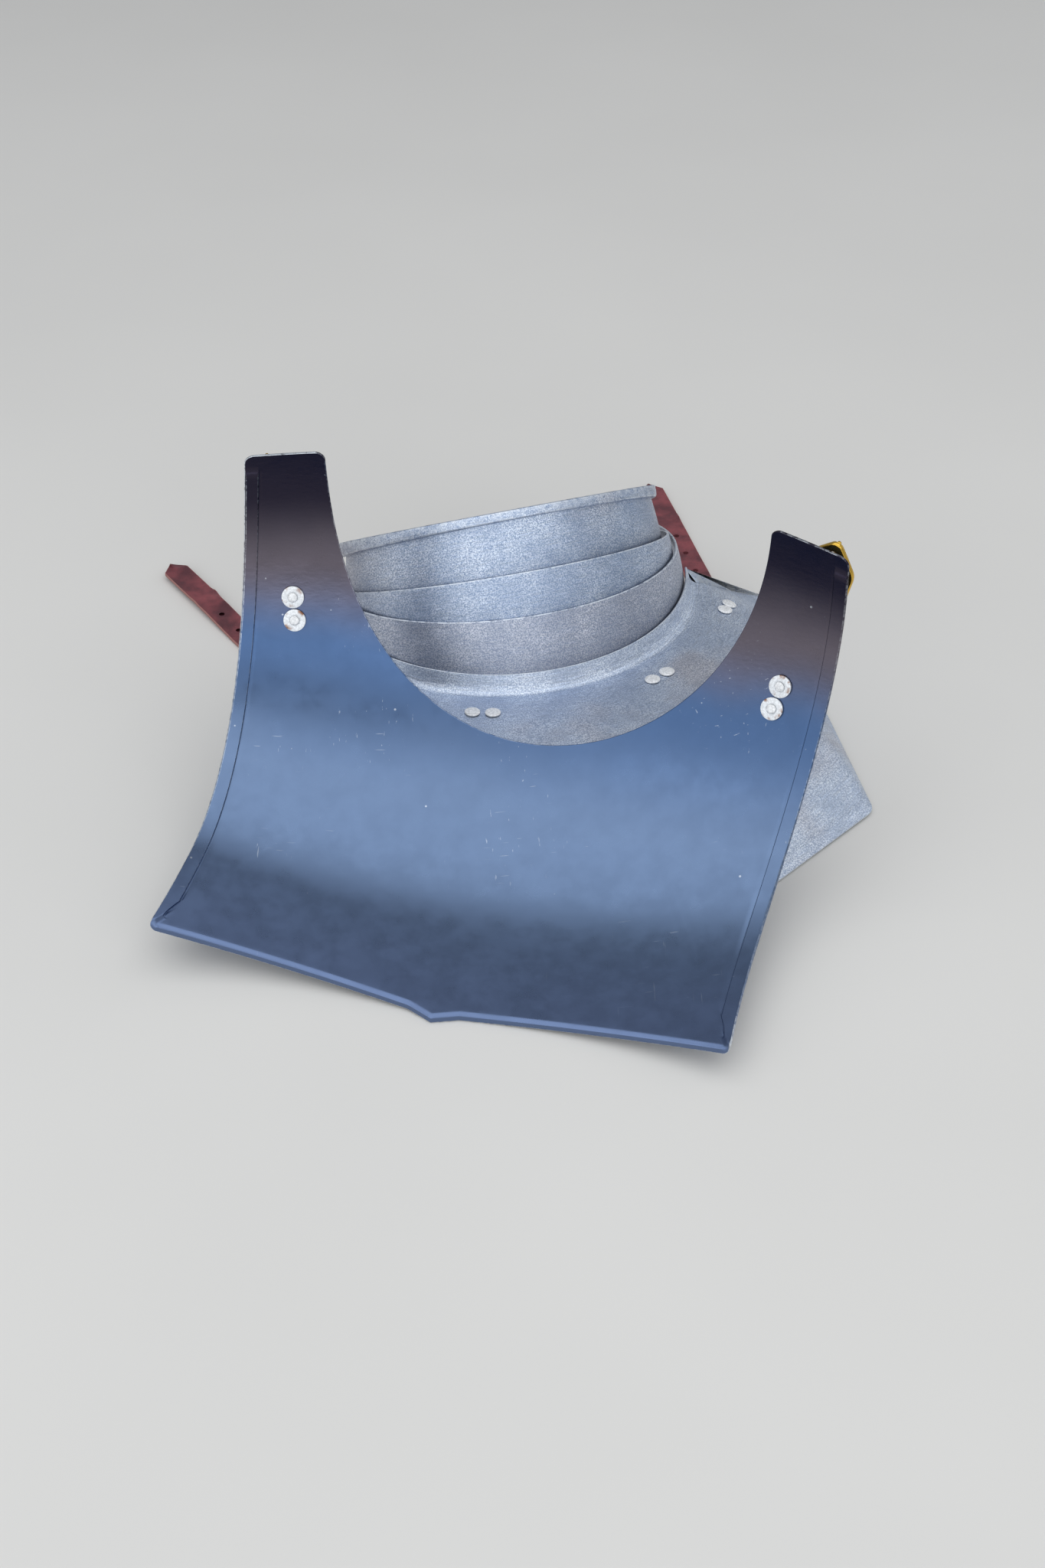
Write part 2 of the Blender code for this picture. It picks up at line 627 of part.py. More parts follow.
def back_lines():
    """Lines across the right half: (outer point, run of the edge, inner point, hem, flange)."""
    tall = ARM_TOP + BACK_BELOW_NECK
    lines = []
    arm = [1, 1 - 0.3 * ARM_ROUND / tall, 1 - ARM_ROUND / tall, 0.968, 0.955, *np.linspace(0.92, 0.6, 9)]
    for share in arm + [0.54, 0.47, 0.4, 0.32, 0.22, 0.1, 0.012]:
        trend = unit(side_edge(share + 0.005) - side_edge(share - 0.005))
        outer, inner = side_edge(share), neckline(NECKLINE_TURN * (1 - share))
        left = min(1, (1 - share) * tall / ARM_ROUND)
        pull = unit(inner - outer) * ARM_ROUND * (1 - (2 * left - left**2) ** 0.5)
        hem = 0 if share > 0.96 else 1
        lines.append((outer + pull, trend, inner - pull, hem, 0))
    keel = 1 - KEEL_HALF_WIDTH / BACK_HALF_WIDTH
    for share in (0, 0.12, 0.3, 0.5, 0.7, keel, 1):
        trend = unit(bottom_edge(min(share + 0.01, 1)) - bottom_edge(max(share - 0.01, 0)))
        inner = neckline(NECKLINE_TURN + (pi / 2 - NECKLINE_TURN) * share)
        lines.append((bottom_edge(share), trend, inner, 0, 1))
    return lines


def back_rows(outer, trend, inner, hem, flange):
    """Face and back points of one line, each as (place on the sheet, lift)."""
    reach = np.linalg.norm(inner - outer)
    heading = (inner - outer) / reach
    lean = max(0.3, abs(heading[0] * trend[1] - heading[1] * trend[0]))
    border = min((HEM + FIT) / lean, reach * 0.45)
    face, back = [], []
    for share in (0, 0.14, 0.3, 0.48, 0.66, 0.84):
        spot = between(inner, outer + heading * border, share)
        face.append((spot, 0.0))
        back.append((spot, -SHEET))
    fold, thick = hem * SHEET, flange * SHEET
    end = -SHEET * (1 - 0.4 * hem) * (1 - flange) - flange * BOTTOM_FLANGE
    edge_face = [(border, 0), (border - FIT / lean, fold), (EDGE_ROUND / lean, fold - thick / 12)]
    edge_face.append((0, fold * 0.4 - flange * BOTTOM_FLANGE))
    edge_back = [(border, -SHEET), (border - FIT / lean, -SHEET), ((EDGE_ROUND + thick) / lean, -SHEET)]
    edge_back.append((thick / lean, end))
    face += [(outer + heading * distance, lift) for distance, lift in edge_face]
    back += [(outer + heading * distance, lift) for distance, lift in edge_back]
    return face, back


def make_back_plate(parent):
    """The plain plate that curls up into two arms, with hemmed sides and an out-turned bottom."""
    right = [back_rows(*line) for line in back_lines()]
    grids = ([], [])
    for mirror, half in ((1, right), (-1, right[-2::-1])):
        for line in half:
            for grid, rows in zip(grids, line):
                grid.append([back_point(mirror * spot[0], spot[1], lift) for spot, lift in rows])
    face, back = [np.array(grid).transpose(1, 0, 2) for grid in grids]
    return shell("back_plate", face, back, STEEL_BLUED, parent)


def arm_stretch():
    """The bow across the plate tightens its curl, so a length up the arm spans more of the curl there."""
    rise = CROSS_RADIUS * (1 - cos(WASHER_ACROSS / CROSS_RADIUS))
    return CURL_RADIUS / (CURL_RADIUS - rise)


def arm_place(side, along, across, out):
    """Point outside an arm: along the chape's line from the lower washer, across it, and out from the sheet."""
    over = WASHER_ACROSS + along * sin(CHAPE_TILT) + across * cos(CHAPE_TILT)
    up = WASHER_UP + (along * cos(CHAPE_TILT) - across * sin(CHAPE_TILT)) * arm_stretch()
    return back_point(side * over, up, -SHEET - out)


def arm_axis(side, along):
    over = WASHER_ACROSS + along * sin(CHAPE_TILT)
    return back_normal(side * over, WASHER_UP + along * cos(CHAPE_TILT) * arm_stretch())


def loft(name, sections, look, parent=None, cutter=False, closed=False):
    """A solid through sections of equal length, with flat ends, or closed into a ring."""
    count, sides = len(sections), len(sections[0])
    points = [point for section in sections for point in section]
    faces = [] if closed else [list(range(sides)), list(range((count - 1) * sides, count * sides))]
    for number in range(count if closed else count - 1):
        low, high = number * sides, (number + 1) % count * sides
        for side in range(sides):
            after = (side + 1) % sides
            faces.append([low + side, low + after, high + after, high + side])
    return solid(name, points, faces, look, parent, cutter)


def make_chape(name, side, bar, parent):
    """Folded leather behind the arm: its tail under the rivets, its fold round the buckle's bar."""
    bend = BUCKLE_ROD + FIT + LEATHER
    centre = FIT + bend
    profile = [(along, FIT) for along in np.linspace(-CHAPE_TAIL, bar, 10)]
    for turn in np.linspace(-60, 60, 5):
        profile.append((bar + bend * cos(radians(turn)), centre + bend * sin(radians(turn))))
    profile.append((bar, centre + bend))
    profile += [(along, FIT + 2 * LEATHER) for along in np.linspace(bar - 3 * bend, -CHAPE_TAIL, 7)]
    sections = []
    for share in (-1, 1):
        sections.append([arm_place(side, along, share * CHAPE_HALF_WIDTH, out) for along, out in profile])
    chape = loft(f"buckle_chape_{name}", sections, HIDE, parent)
    bore = BUCKLE_ROD + FIT
    turns = np.linspace(0, 2 * pi, 12, endpoint=False)
    round_bar = [(bar + bore * cos(turn), centre + bore * sin(turn)) for turn in turns]
    bar_hole = []
    for share in (-1.2, 1.2):
        bar_hole.append([arm_place(side, along, share * CHAPE_HALF_WIDTH, out) for along, out in round_bar])
    cut(chape, loft(f"{name}_bar_hole", bar_hole, None, parent, True))
    slot = TONGUE_ROD + FIT * 2
    low, high = centre - TONGUE_ROD, centre + 3 * bend
    box = []
    for along in (bar - 2 * bend, bar + 2 * bend):
        corners = ((-slot, low), (slot, low), (slot, high), (-slot, high))
        box.append([arm_place(side, along, across, out) for across, out in corners])
    cut(chape, loft(f"{name}_tongue_slot", box, None, parent, True))
    return chape


def rod_sections(path, radius, sides=8):
    """Round sections along an open path, each square to it."""
    path = np.array(path)
    headings = np.gradient(path, axis=0)
    sections = []
    for spot, heading in zip(path, headings):
        heading = unit(heading)
        guide = np.array((0, 0, 1.0)) if abs(heading[2]) < 0.8 else np.array((1.0, 0, 0))
        first = unit(np.cross(heading, guide))
        second = np.cross(heading, first)
        sections.append([spot + radius * (first * cos(turn) + second * sin(turn))
                         for turn in np.linspace(0, 2 * pi, sides, endpoint=False)])
    return sections


def frame_sections(corners, radius, normal, sides=8):
    """Round sections at the corners of a closed frame, each on its corner's mitre."""
    sections = []
    count = len(corners)
    for number, corner in enumerate(corners):
        inward = unit(corner - corners[number - 1])
        outward = unit(corners[(number + 1) % count] - corner)
        heading = unit(inward + outward)
        aside = unit(np.cross(normal, heading))
        stretch = 1 / max(0.5, heading @ inward)
        sections.append([corner + radius * (aside * cos(turn) * stretch + normal * sin(turn))
                         for turn in np.linspace(0, 2 * pi, sides, endpoint=False)])
    return sections


def make_buckle(name, side, bar, parent):
    """House-shaped frame whose bar runs in the chape's fold, with the tongue lying on its peak."""
    level = FIT + BUCKLE_ROD + FIT + LEATHER
    half, eaves, apex = BUCKLE_HALF_WIDTH, bar + BUCKLE_EAVES, bar + BUCKLE_LENGTH
    outline = ((bar, -half), (bar, half), (eaves, half), (apex, half * 0.15),
               (apex, -half * 0.15), (eaves, -half))
    corners = [arm_place(side, along, across, level) for along, across in outline]
    normal = arm_axis(side, (bar + apex) / 2)
    frame = loft(f"buckle_{name}", frame_sections(corners, BUCKLE_ROD, normal), BRASS, parent, closed=True)
    rise = BUCKLE_ROD + TONGUE_ROD
    bend = 2.5 * BUCKLE_ROD
    tongue = ((bar, level + BUCKLE_ROD * 0.3), (bar + bend, level + rise),
              (apex - bend, level + rise), (apex + BUCKLE_ROD, level + BUCKLE_ROD * 0.6))
    path = [arm_place(side, along, 0, out) for along, out in tongue]
    cut(frame, loft(f"{name}_tongue", rod_sections(path, TONGUE_ROD), None, parent, True), "UNION")
    return frame


def make_arm_fittings(name, side, bar, plate, parent):
    """Two washers and rivets on the arm's inside, which hold the chape and its buckle on the outside."""
    chape = make_chape(name, side, bar, parent)
    make_buckle(name, side, bar, parent)
    bore = RIVET_SHANK + FIT
    hollow = WASHER_RADIUS**2 / CURL_RADIUS
    for number, along in enumerate((0, 2 * (WASHER_RADIUS + FIT)), 1):
        axis = arm_axis(side, along)
        base = arm_place(side, along, 0, -SHEET)
        low, high = FIT + hollow, FIT + hollow + WASHER_THICKNESS
        washer = turned(f"washer_{name}_{number}", ((WASHER_RADIUS, low), (WASHER_RADIUS, high)),
                        base, axis, ZINC, parent, 16)
        drill(washer, f"{washer.name}_bore", base, axis, bore, 0.004, parent)
        drill(plate, f"{washer.name}_plate", base, axis, bore, 0.004, parent)
        drill(chape, f"{washer.name}_chape", base, axis, bore, 0.012, parent)
        top = high + FIT
        grip = SHEET + 2 * FIT + 2 * LEATHER
        clench, mid = RIVET_CLENCH * 0.9, top + CLENCH_HEIGHT * 0.45
        profile = [(RIVET_HEAD * 0.8, -grip - RIVET_HEIGHT), (RIVET_HEAD, -grip - RIVET_HEIGHT / 2)]
        profile += [(RIVET_HEAD, -grip), (RIVET_SHANK, -grip), (RIVET_SHANK, top)]
        profile += [(clench, top), (clench, mid), (clench * 0.67, top + CLENCH_HEIGHT * 0.9)]
        turned(f"rivet_buckle_{name}_{number}", profile, base, axis, STEEL_BRIGHT, parent)


def world_points(pieces, place):
    return np.array([place @ vertex.co for piece in pieces for vertex in piece.data.vertices])


def tree_of(piece, place):
    points = [place @ vertex.co for vertex in piece.data.vertices]
    return BVHTree.FromPolygons(points, [tuple(face.vertices) for face in piece.data.polygons])


def front_turn():
    """The front plate stands on its tip and shoulders, which fixes how far its neck leans back."""
    lean = atan2(TIP_DROP - SHOULDER_DROP, SHOULDER_BACK + TIP_REACH)
    return Matrix.Rotation(FRONT_YAW, 4, "Z") @ Matrix.Rotation(-lean, 4, "X")


def on_floor(piece, turn):
    """The turn, raised so that the piece just reaches the floor."""
    lowest = world_points([piece], turn)[:, 2].min()
    return Matrix.Translation((0, 0, -lowest)) @ turn


def place_back_plate(back, front, front_place):
    """Slides the back plate up to the front one until the named gap is left between them."""
    pitch, roll, yaw = [Matrix.Rotation(angle, 4, axis) for angle, axis in zip(BACK_TURN, "XYZ")]
    standing = on_floor(back, yaw @ roll @ pitch)
    front_tree = tree_of(front, front_place)
    front_points = world_points([front], front_place)
    near, far = 0.05, 3 * TIP_REACH
    for _ in range(14):
        slide = (near + far) / 2
        place = Matrix.Translation((BACK_ASIDE, -slide, 0)) @ standing
        back_tree = tree_of(back, place)
        gap = min(front_tree.find_nearest(point)[3] for point in world_points([back], place))
        gap = min(gap, *(back_tree.find_nearest(Vector(point))[3] for point in front_points))
        if front_tree.overlap(back_tree) or gap < PLATES_APART:
            near = slide
        else:
            far = slide
    return Matrix.Translation((BACK_ASIDE, -far, 0)) @ standing


def centre_on_origin(roots):
    """Moves everything so that the bottom of its bounding box is centred on the origin."""
    bpy.context.view_layer.update()
    solids = [piece for piece in bpy.data.objects if piece.type == "MESH" and not piece.hide_render]
    points = np.concatenate([world_points([piece], piece.matrix_world) for piece in solids])
    low, high = points.min(axis=0), points.max(axis=0)
    shift = Vector((-(low[0] + high[0]) / 2, -(low[1] + high[1]) / 2, -low[2]))
    for root in roots:
        root.location += shift


def main():
    clear_scene()
    scene = bpy.context.scene
    front_group = bpy.data.objects.new("front_group", None)
    back_group = bpy.data.objects.new("back_group", None)
    floor_group = bpy.data.objects.new("floor_group", None)
    for group in (front_group, back_group, floor_group):
        scene.collection.objects.link(group)

    rings = collar_rings()
    front = make_front_plate(rings, front_group)
    lames = {
        "top": make_lame("neck_lame_top", rings["rim_crease"], rings["top_foot"], front_group, rings["rim"]),
        "middle": make_lame("neck_lame_middle", rings["middle_top"], rings["middle_foot"], front_group),
        "bottom": make_lame("neck_lame_bottom", rings["bottom_top"], rings["bottom_foot"], front_group),
    }
    leathers = {
        "lame_left": make_leather(-1, rings, front_group),
        "lame_right": make_leather(1, rings, front_group),
    }
    make_front_rivets(rings, front, leathers, front_group)
    make_lame_rivets(rings, lames, leathers, front_group)
    back = make_back_plate(back_group)
    for name, (side, bar) in CHAPES.items():
        make_arm_fittings(name, side, bar, back, back_group)

    front_place = on_floor(front, front_turn())
    front_group.matrix_world = front_place
    back_group.matrix_world = place_back_plate(back, front, front_place)
    for name, row in STRAPS.items():
        before = set(bpy.data.objects)
        make_strap(name, rings, row, front_place, floor_group)
        for made in set(bpy.data.objects) - before:
            made.parent = floor_group
    centre_on_origin((front_group, back_group, floor_group))


main()
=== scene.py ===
"""Looks of the steel gorget: two sheet steel plates, three neck lames, riveted leather and brass buckles.

Metres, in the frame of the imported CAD. Each wall of sheet or leather is a grid that runs round its own
section, so its cut edges are round and its two faces lie one thickness apart.
"""

from math import atan2, cos, pi, radians, sin

import bpy
import numpy as np
from mathutils import Matrix, Vector


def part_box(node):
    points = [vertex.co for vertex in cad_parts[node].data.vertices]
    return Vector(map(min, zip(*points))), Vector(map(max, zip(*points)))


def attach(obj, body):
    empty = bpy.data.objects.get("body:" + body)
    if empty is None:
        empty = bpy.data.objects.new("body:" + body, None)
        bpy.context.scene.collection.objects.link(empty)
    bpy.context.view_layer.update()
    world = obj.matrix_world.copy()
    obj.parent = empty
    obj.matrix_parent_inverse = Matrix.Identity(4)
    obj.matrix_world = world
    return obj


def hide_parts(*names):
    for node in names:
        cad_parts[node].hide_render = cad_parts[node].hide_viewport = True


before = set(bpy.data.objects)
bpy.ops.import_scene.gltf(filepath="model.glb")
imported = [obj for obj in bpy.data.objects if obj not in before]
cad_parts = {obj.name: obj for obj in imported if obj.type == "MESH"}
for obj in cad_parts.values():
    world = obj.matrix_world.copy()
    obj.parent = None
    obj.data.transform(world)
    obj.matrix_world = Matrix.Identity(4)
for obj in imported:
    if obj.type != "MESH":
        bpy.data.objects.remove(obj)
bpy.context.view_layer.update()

bl_info = {
    "name": "Steel gorget",
    "version": (1, 0, 0),
    "blender": (4, 5, 0),
    "location": "3D View > Sidebar > Gorget",
    "description": "Models and finishes a steel gorget round its packed CAD frame",
    "category": "Object",
}

# Collar, as in the part's source
COLLAR_HEIGHT = 0.0948
NECK_HALF_WIDTH = 0.0847
NECK_HALF_DEPTH = 0.0677
RIM_FLARE = 0.0032
LAME_PLAY = 0.0027
LAME_FLARE = 0.0031
LAME_END_ANGLE = radians(98)
COLLAR_EDGES = {
    "rim": (0.458, 0.542),
    "rim_crease": (0.381, 0.488),
    "top_foot": (0.135, 0.108),
    "middle_top": (0.198, 0.204),
    "middle_foot": (0.105, -0.127),
    "bottom_top": (0.186, -0.033),
    "bottom_foot": (0.032, -0.417),
    "flange_top": (0.103, -0.337),
    "flange_base": (0.0, -0.458),
}
NESTING = {
    "middle": (1.0, 0.41, 0.29, 0.13),
    "bottom": (0.63, 0.23, 0.48, 0.13),
    "flange": (0.41, 0.2, 2.48, 1.39),
}
TOP_LAME_FRONT_FLARE = 0.52
RIM_FRONT_FLARE = 0.56

# Front plate
TIP_REACH = 0.2196
TIP_DROP = 0.1454
CORNER = np.array((0.1223, -0.1669, -0.1173))
SHOULDER = np.array((0.1526, 0.0041, -0.0309))
CORNER_ROUND = 0.005
TIP_ROUND = 0.008
CORNER_ANGLE = radians(59.7)
PLATE_END_ANGLE = radians(74.8)
CROWN_FRONT = radians(17.8)
CROWN_SIDE = radians(23.7)
FRONT_YAW = radians(19.3)

# Rivets of the front plate
RIVET_PITCH = 0.0104
RIVET_ROW = 0.0159
LAME_RIVET_ANGLE = radians(26.3)
STRAP_RIVET_ANGLE = radians(67.2)
FIT = 0.0003

# Billet straps: side of the neck, heading of the drop, heading on the floor, length past the shoulder's edge
STRAPS = {
    "right": (1, radians(100), radians(103.5), 0.151),
    "left": (-1, radians(128), radians(125.5), 0.163),
}
STRAP_DROP = 0.046
STRAP_ROOT = 0.012
# how far a strap runs past the plate's end before it drops
STRAP_CLEAR = 0.002
# height of a strap's lower face over the floor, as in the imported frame
STRAP_LIFT = 0.0002

# Back plate
BACK_HALF_WIDTH = 0.1351
BACK_BELOW_NECK = 0.1545
ARM_TOP = 0.135
SIDE_CURVE = (1.0, 0.96, 1.127, 1.06)
NECKLINE_HALF_WIDTH = 0.1057
NECKLINE_HEIGHT = 0.138
NECKLINE_POWERS = (1.988, 2.422)
NECKLINE_TURN = radians(62)
CURL_RADIUS = 0.143
CURL_START = -0.1054
CROSS_RADIUS = 0.5
BOTTOM_ARCH = 0.0053
KEEL_TIP = 0.003
KEEL_HALF_WIDTH = 0.012
BACK_TURN = (radians(3.9), radians(1.9), radians(-15.2))

# inner radius of the bend into the bottom's flange
BEND_ROUND = 0.0008

# Fittings of the arms
WASHER_ACROSS = 0.1181
WASHER_UP = 0.04
CHAPE_TILT = radians(11)
CHAPE_TAIL = 0.014
# side of the plate, distance of the buckle's bar from the lower washer
CHAPES = {"right": (1, 0.0575), "left": (-1, 0.0515)}
BUCKLE_EAVES = 0.019
BUCKLE_LENGTH = 0.0309
BUCKLE_ROD = 0.0016
TONGUE_ROD = 0.0012

# What a grid point holds: its place, then how worn it is (below zero, how much painted shade it gets), then its two
# lengths along the surface
WEAR_AND_SHADE = 3
ALONG = 4
UP = 5
POINT_SIZE = 6
UP_AXIS = np.array((0, 0, 1.0))
# where the front plate's lengths start, apart from those of the lames
PLATE_LAY = 0.4


def linear(code):
    """Linear colour of an sRGB hex value."""
    values = [int(code[place:place + 2], 16) / 255 for place in (1, 3, 5)]
    return tuple(v / 12.92 if v <= 0.04045 else ((v + 0.055) / 1.055) ** 2.4 for v in values)


def length(name, description, default):
    return bpy.props.FloatProperty(
        name=name, description=description, default=default, min=0.0, unit="LENGTH", precision=5)


def strength(name, description, default):
    return bpy.props.FloatProperty(name=name, description=description, default=default, min=0.0)


def colour(name, description, code):
    return bpy.props.FloatVectorProperty(
        name=name, description=description, default=linear(code), subtype="COLOR", size=3, min=0.0, max=1.0)


class GorgetSizes(bpy.types.PropertyGroup):
    """Sizes of the stock and the fastenings."""

    sheet: length("Sheet", "Thickness of the steel", 0.0012)
    leather: length("Leather", "Thickness of the straps", 0.002)
    edge_round: length("Edge round", "How far a cut edge is rounded off", 0.0004)
    rim_roll: length("Rim roll", "How far the rolled rim stands out", 0.0034)
    plate_border: length("Plate border", "Width of the front plate's bevelled border", 0.008)
    border_sink: length("Border sink", "How far that border lies below the plate", 0.0006)
    hem: length("Hem", "Width of the folded hem on the back plate's sides", 0.0068)
    bottom_flange: length("Bottom flange", "Depth of the back plate's turned-out bottom", 0.0036)
    arm_round: length("Arm corner", "Radius of the corners at the top of each arm", 0.0042)
    rivet_head: length("Rivet head", "Radius of a rivet's head", 0.004)
    rivet_height: length("Rivet height", "Height of a rivet's head", 0.0011)
    rivet_shank: length("Rivet shank", "Radius of a rivet's shank", 0.0015)
    rivet_clench: length("Rivet clench", "Radius of a rivet's hammered end", 0.0026)
    washer: length("Washer", "Outer radius of a washer", 0.0054)
    washer_thickness: length("Washer thickness", "Thickness of a washer", 0.0011)
    strap_width: length("Strap width", "Width of a billet strap", 0.0148)
    strap_tip: length("Strap tip", "Length of a billet strap's point", 0.007)
    hole: length("Strap hole", "Radius of a buckle hole", 0.0016)
    hole_from_tip: length("First hole", "Distance of the first hole from the tip", 0.06)
    hole_pitch: length("Hole pitch", "Distance between two holes", 0.019)
    buckle_half_width: length("Buckle half width", "Half the width of a buckle", 0.011)
    buckle_band: length("Buckle band", "Width of the buckle's flat frame", 0.0046)


class GorgetColours(bpy.types.PropertyGroup):
    """Colours of the finishes."""

    aged_dark: colour("Aged steel, low", "Dark pits of the aged steel", "#8c9fbd")
    aged_light: colour("Aged steel, high", "Rubbed grains of the aged steel", "#eef5ff")
    aged_warm: colour("Aged steel, warm", "Brown cast at the ends of the lames", "#cfc3c2")
    # Painted shade: this colour darkens each lame towards its foot.
    foot_shade: colour("Soot", "Blacking left under the foot of each lame", "#1d2c45")
    # Blued steel is the oxide's own colour; the four colours after it are painted reflections by height on the back
    # plate.
    blued: colour("Blued steel", "Middle of the back plate", "#697d9c")
    blued_painted_bottom: colour("Blued steel, foot", "Bottom of the back plate", "#67789a")
    blued_painted_arm_foot: colour("Blued steel, deep", "Foot of each arm", "#4b6388")
    blued_painted_arm_middle: colour("Blued steel, warm", "Middle of each arm", "#6f6872")
    blued_painted_arm_top: colour("Blued steel, arms", "Top of each arm", "#34303e")
    worn: colour("Worn edge", "Bare steel where an edge is rubbed", "#e3e9f0")
    rivet: colour("Rivet", "Rivet heads and clenched ends", "#fafbfc")
    zinc: colour("Zinc", "Plated washers", "#f4f7fa")
    rust: colour("Rust", "Brown bloom at the edge of a washer", "#8f5f3f")
    brass: colour("Brass", "Polished rim of a buckle", "#d8b04e")
    tarnish: colour("Tarnish", "Green and brown film on a buckle", "#62644a")
    leather: colour("Leather", "Dyed face of the straps", "#934a50")
    leather_dark: colour("Leather, dark", "Folds and pores of the straps", "#54262f")
    leather_cut: colour("Leather, cut", "Cut edge of the straps", "#a0706a")
    floor: colour("Floor", "Plain studio floor", "#dcdad6")


class GorgetStage(bpy.types.PropertyGroup):
    """Camera and light."""

    lens: bpy.props.FloatProperty(
        name="Lens", description="Focal length on a frame 36 mm high", default=50.0, min=1.0)
    pitch: bpy.props.FloatProperty(
        name="Pitch", description="How far the camera looks down", default=radians(38.56), subtype="ANGLE")
    camera_place: bpy.props.FloatVectorProperty(
        name="Camera", description="Place of the camera from the neck", default=(0.0069, -0.9886, 0.6872),
        size=3, subtype="TRANSLATION", unit="LENGTH")
    overhead: strength("Overhead light", "Power of the large soft light above", 27.0)
    front: strength("Front light", "Power of the soft light behind the camera", 27.0)
    left: strength("Left light", "Power of the soft light left of the camera", 15.0)
    right: strength("Right light", "Power of the soft light on the right", 4.5)
    room: strength("Room light", "Strength of the even light all round", 0.36)


def sizes():
    return bpy.context.scene.gorget_sizes


def colours():
    return bpy.context.scene.gorget_colours


def unit(vector):
    return vector / np.linalg.norm(vector, axis=-1, keepdims=True)


def between(first, second, share):
    return first + (second - first) * share


def rounded(before, corner, after, share):
    return (1 - share) ** 2 * before + 2 * share * (1 - share) * corner + share**2 * after


def point(place, worn=0.0, along=0.0, up=0.0):
    return np.array((*place, worn, along, up))


# Building blocks


def select_only(piece):
    bpy.ops.object.select_all(action="DESELECT")
    piece.select_set(True)
    bpy.context.view_layer.objects.active = piece


def close_ends(piece, ends):
    """Fills the open loops at the two ends of a wall."""
    bpy.ops.mesh.select_mode(type="EDGE")
    for end in ends:
        bpy.ops.mesh.select_all(action="DESELECT")
        bpy.ops.object.mode_set(mode="OBJECT")
        for edge in piece.data.edges:
            edge.select = all(vertex in end for vertex in edge.vertices)
        bpy.ops.object.mode_set(mode="EDIT")
        bpy.ops.mesh.edge_face_add()


def grow(name, grid, finish, ring=False, soften=0.0):
    """A closed solid from a grid of points: rows run round its section, columns along it."""
    rows = len(grid)
    grid = np.concatenate([grid, grid[:1]])
    if ring:
        grid = np.concatenate([grid, grid[:, :1]], axis=1)
    spans = grid.shape[1] - 1
    bpy.ops.object.select_all(action="DESELECT")
    bpy.ops.mesh.primitive_grid_add(x_subdivisions=spans, y_subdivisions=rows, size=1, location=(0, 0, 0))
    piece = bpy.context.object
    piece.name = piece.data.name = name
    flat = np.empty(len(piece.data.vertices) * 3)
    piece.data.vertices.foreach_get("co", flat)
    flat = flat.reshape(-1, 3) + 0.5
    column = np.rint(flat[:, 0] * spans).astype(int)
    row = np.rint(flat[:, 1] * rows).astype(int)
    shaped = grid[row, column]
    piece.data.vertices.foreach_set("co", shaped[:, :3].astype(np.float32).ravel())
    worn = piece.data.attributes.new("worn", "FLOAT", "POINT")
    worn.data.foreach_set("value", shaped[:, WEAR_AND_SHADE].astype(np.float32))
    corners = np.empty(len(piece.data.loops), np.int32)
    piece.data.loops.foreach_get("vertex_index", corners)
    piece.data.uv_layers[0].name = "lay"
    lay = shaped[corners][:, ALONG:POINT_SIZE]
    piece.data.uv_layers[0].data.foreach_set("uv", lay.astype(np.float32).ravel())
    on_end = [set(np.flatnonzero(column == end)) for end in (0, spans)]
    end_places = [shaped[sorted(end)][:, :3] for end in on_end]
    bpy.ops.object.mode_set(mode="EDIT")
    bpy.ops.mesh.select_all(action="SELECT")
    bpy.ops.mesh.remove_doubles(threshold=1e-6)
    bpy.ops.object.mode_set(mode="OBJECT")
    if not ring:
        ends = []
        for places in end_places:
            known = {tuple(np.round(place, 6)) for place in places.astype(np.float32)}
            ends.append({vertex.index for vertex in piece.data.vertices
                         if tuple(np.round(np.array(vertex.co, np.float32), 6)) in known})
        bpy.ops.object.mode_set(mode="EDIT")
        close_ends(piece, ends)
        bpy.ops.object.mode_set(mode="OBJECT")
    bpy.ops.object.mode_set(mode="EDIT")
    bpy.ops.mesh.select_all(action="SELECT")
    bpy.ops.mesh.normals_make_consistent(inside=False)
    bpy.ops.object.mode_set(mode="OBJECT")
    if soften:
        bevel = piece.modifiers.new("soften", "BEVEL")
        bevel.width = soften
        bevel.segments = 2
        bevel.limit_method = "ANGLE"
        bevel.angle_limit = radians(60)
        bpy.ops.object.modifier_apply(modifier=bevel.name)
    bpy.ops.object.shade_smooth_by_angle(angle=radians(38))
    piece.data.materials.append(finish)
    return piece


def settle(piece, node):
    """The piece rides on the row's one body and stands for its CAD node."""
    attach(piece, "root")
    if node:
        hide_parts(node)


def guard(end, after, reach=0.0008):
    """A point just inside a cut edge, where the wear stops."""
    gap = np.linalg.norm((after - end)[..., :3], axis=-1, keepdims=True)
    spot = between(end, after, np.minimum(0.45, reach / gap))
    spot[..., WEAR_AND_SHADE] = np.minimum(end[..., WEAR_AND_SHADE], after[..., WEAR_AND_SHADE])
    return spot


def edge_arc(end, after, other, reach, worn):
    """Points that take a cut edge round from one face to the other."""
    middle, half = (end + other) / 2, (end - other) / 2
    out = end - after
    out[..., 3:] = 0
    out /= np.linalg.norm(out, axis=-1, keepdims=True)
    rows = []
    for turn in np.linspace(0, pi, 7):
        spot = middle + half * cos(turn) + out * reach * (sin(turn) - 1)
        spot[..., WEAR_AND_SHADE] = worn
        rows.append(spot)
    return rows


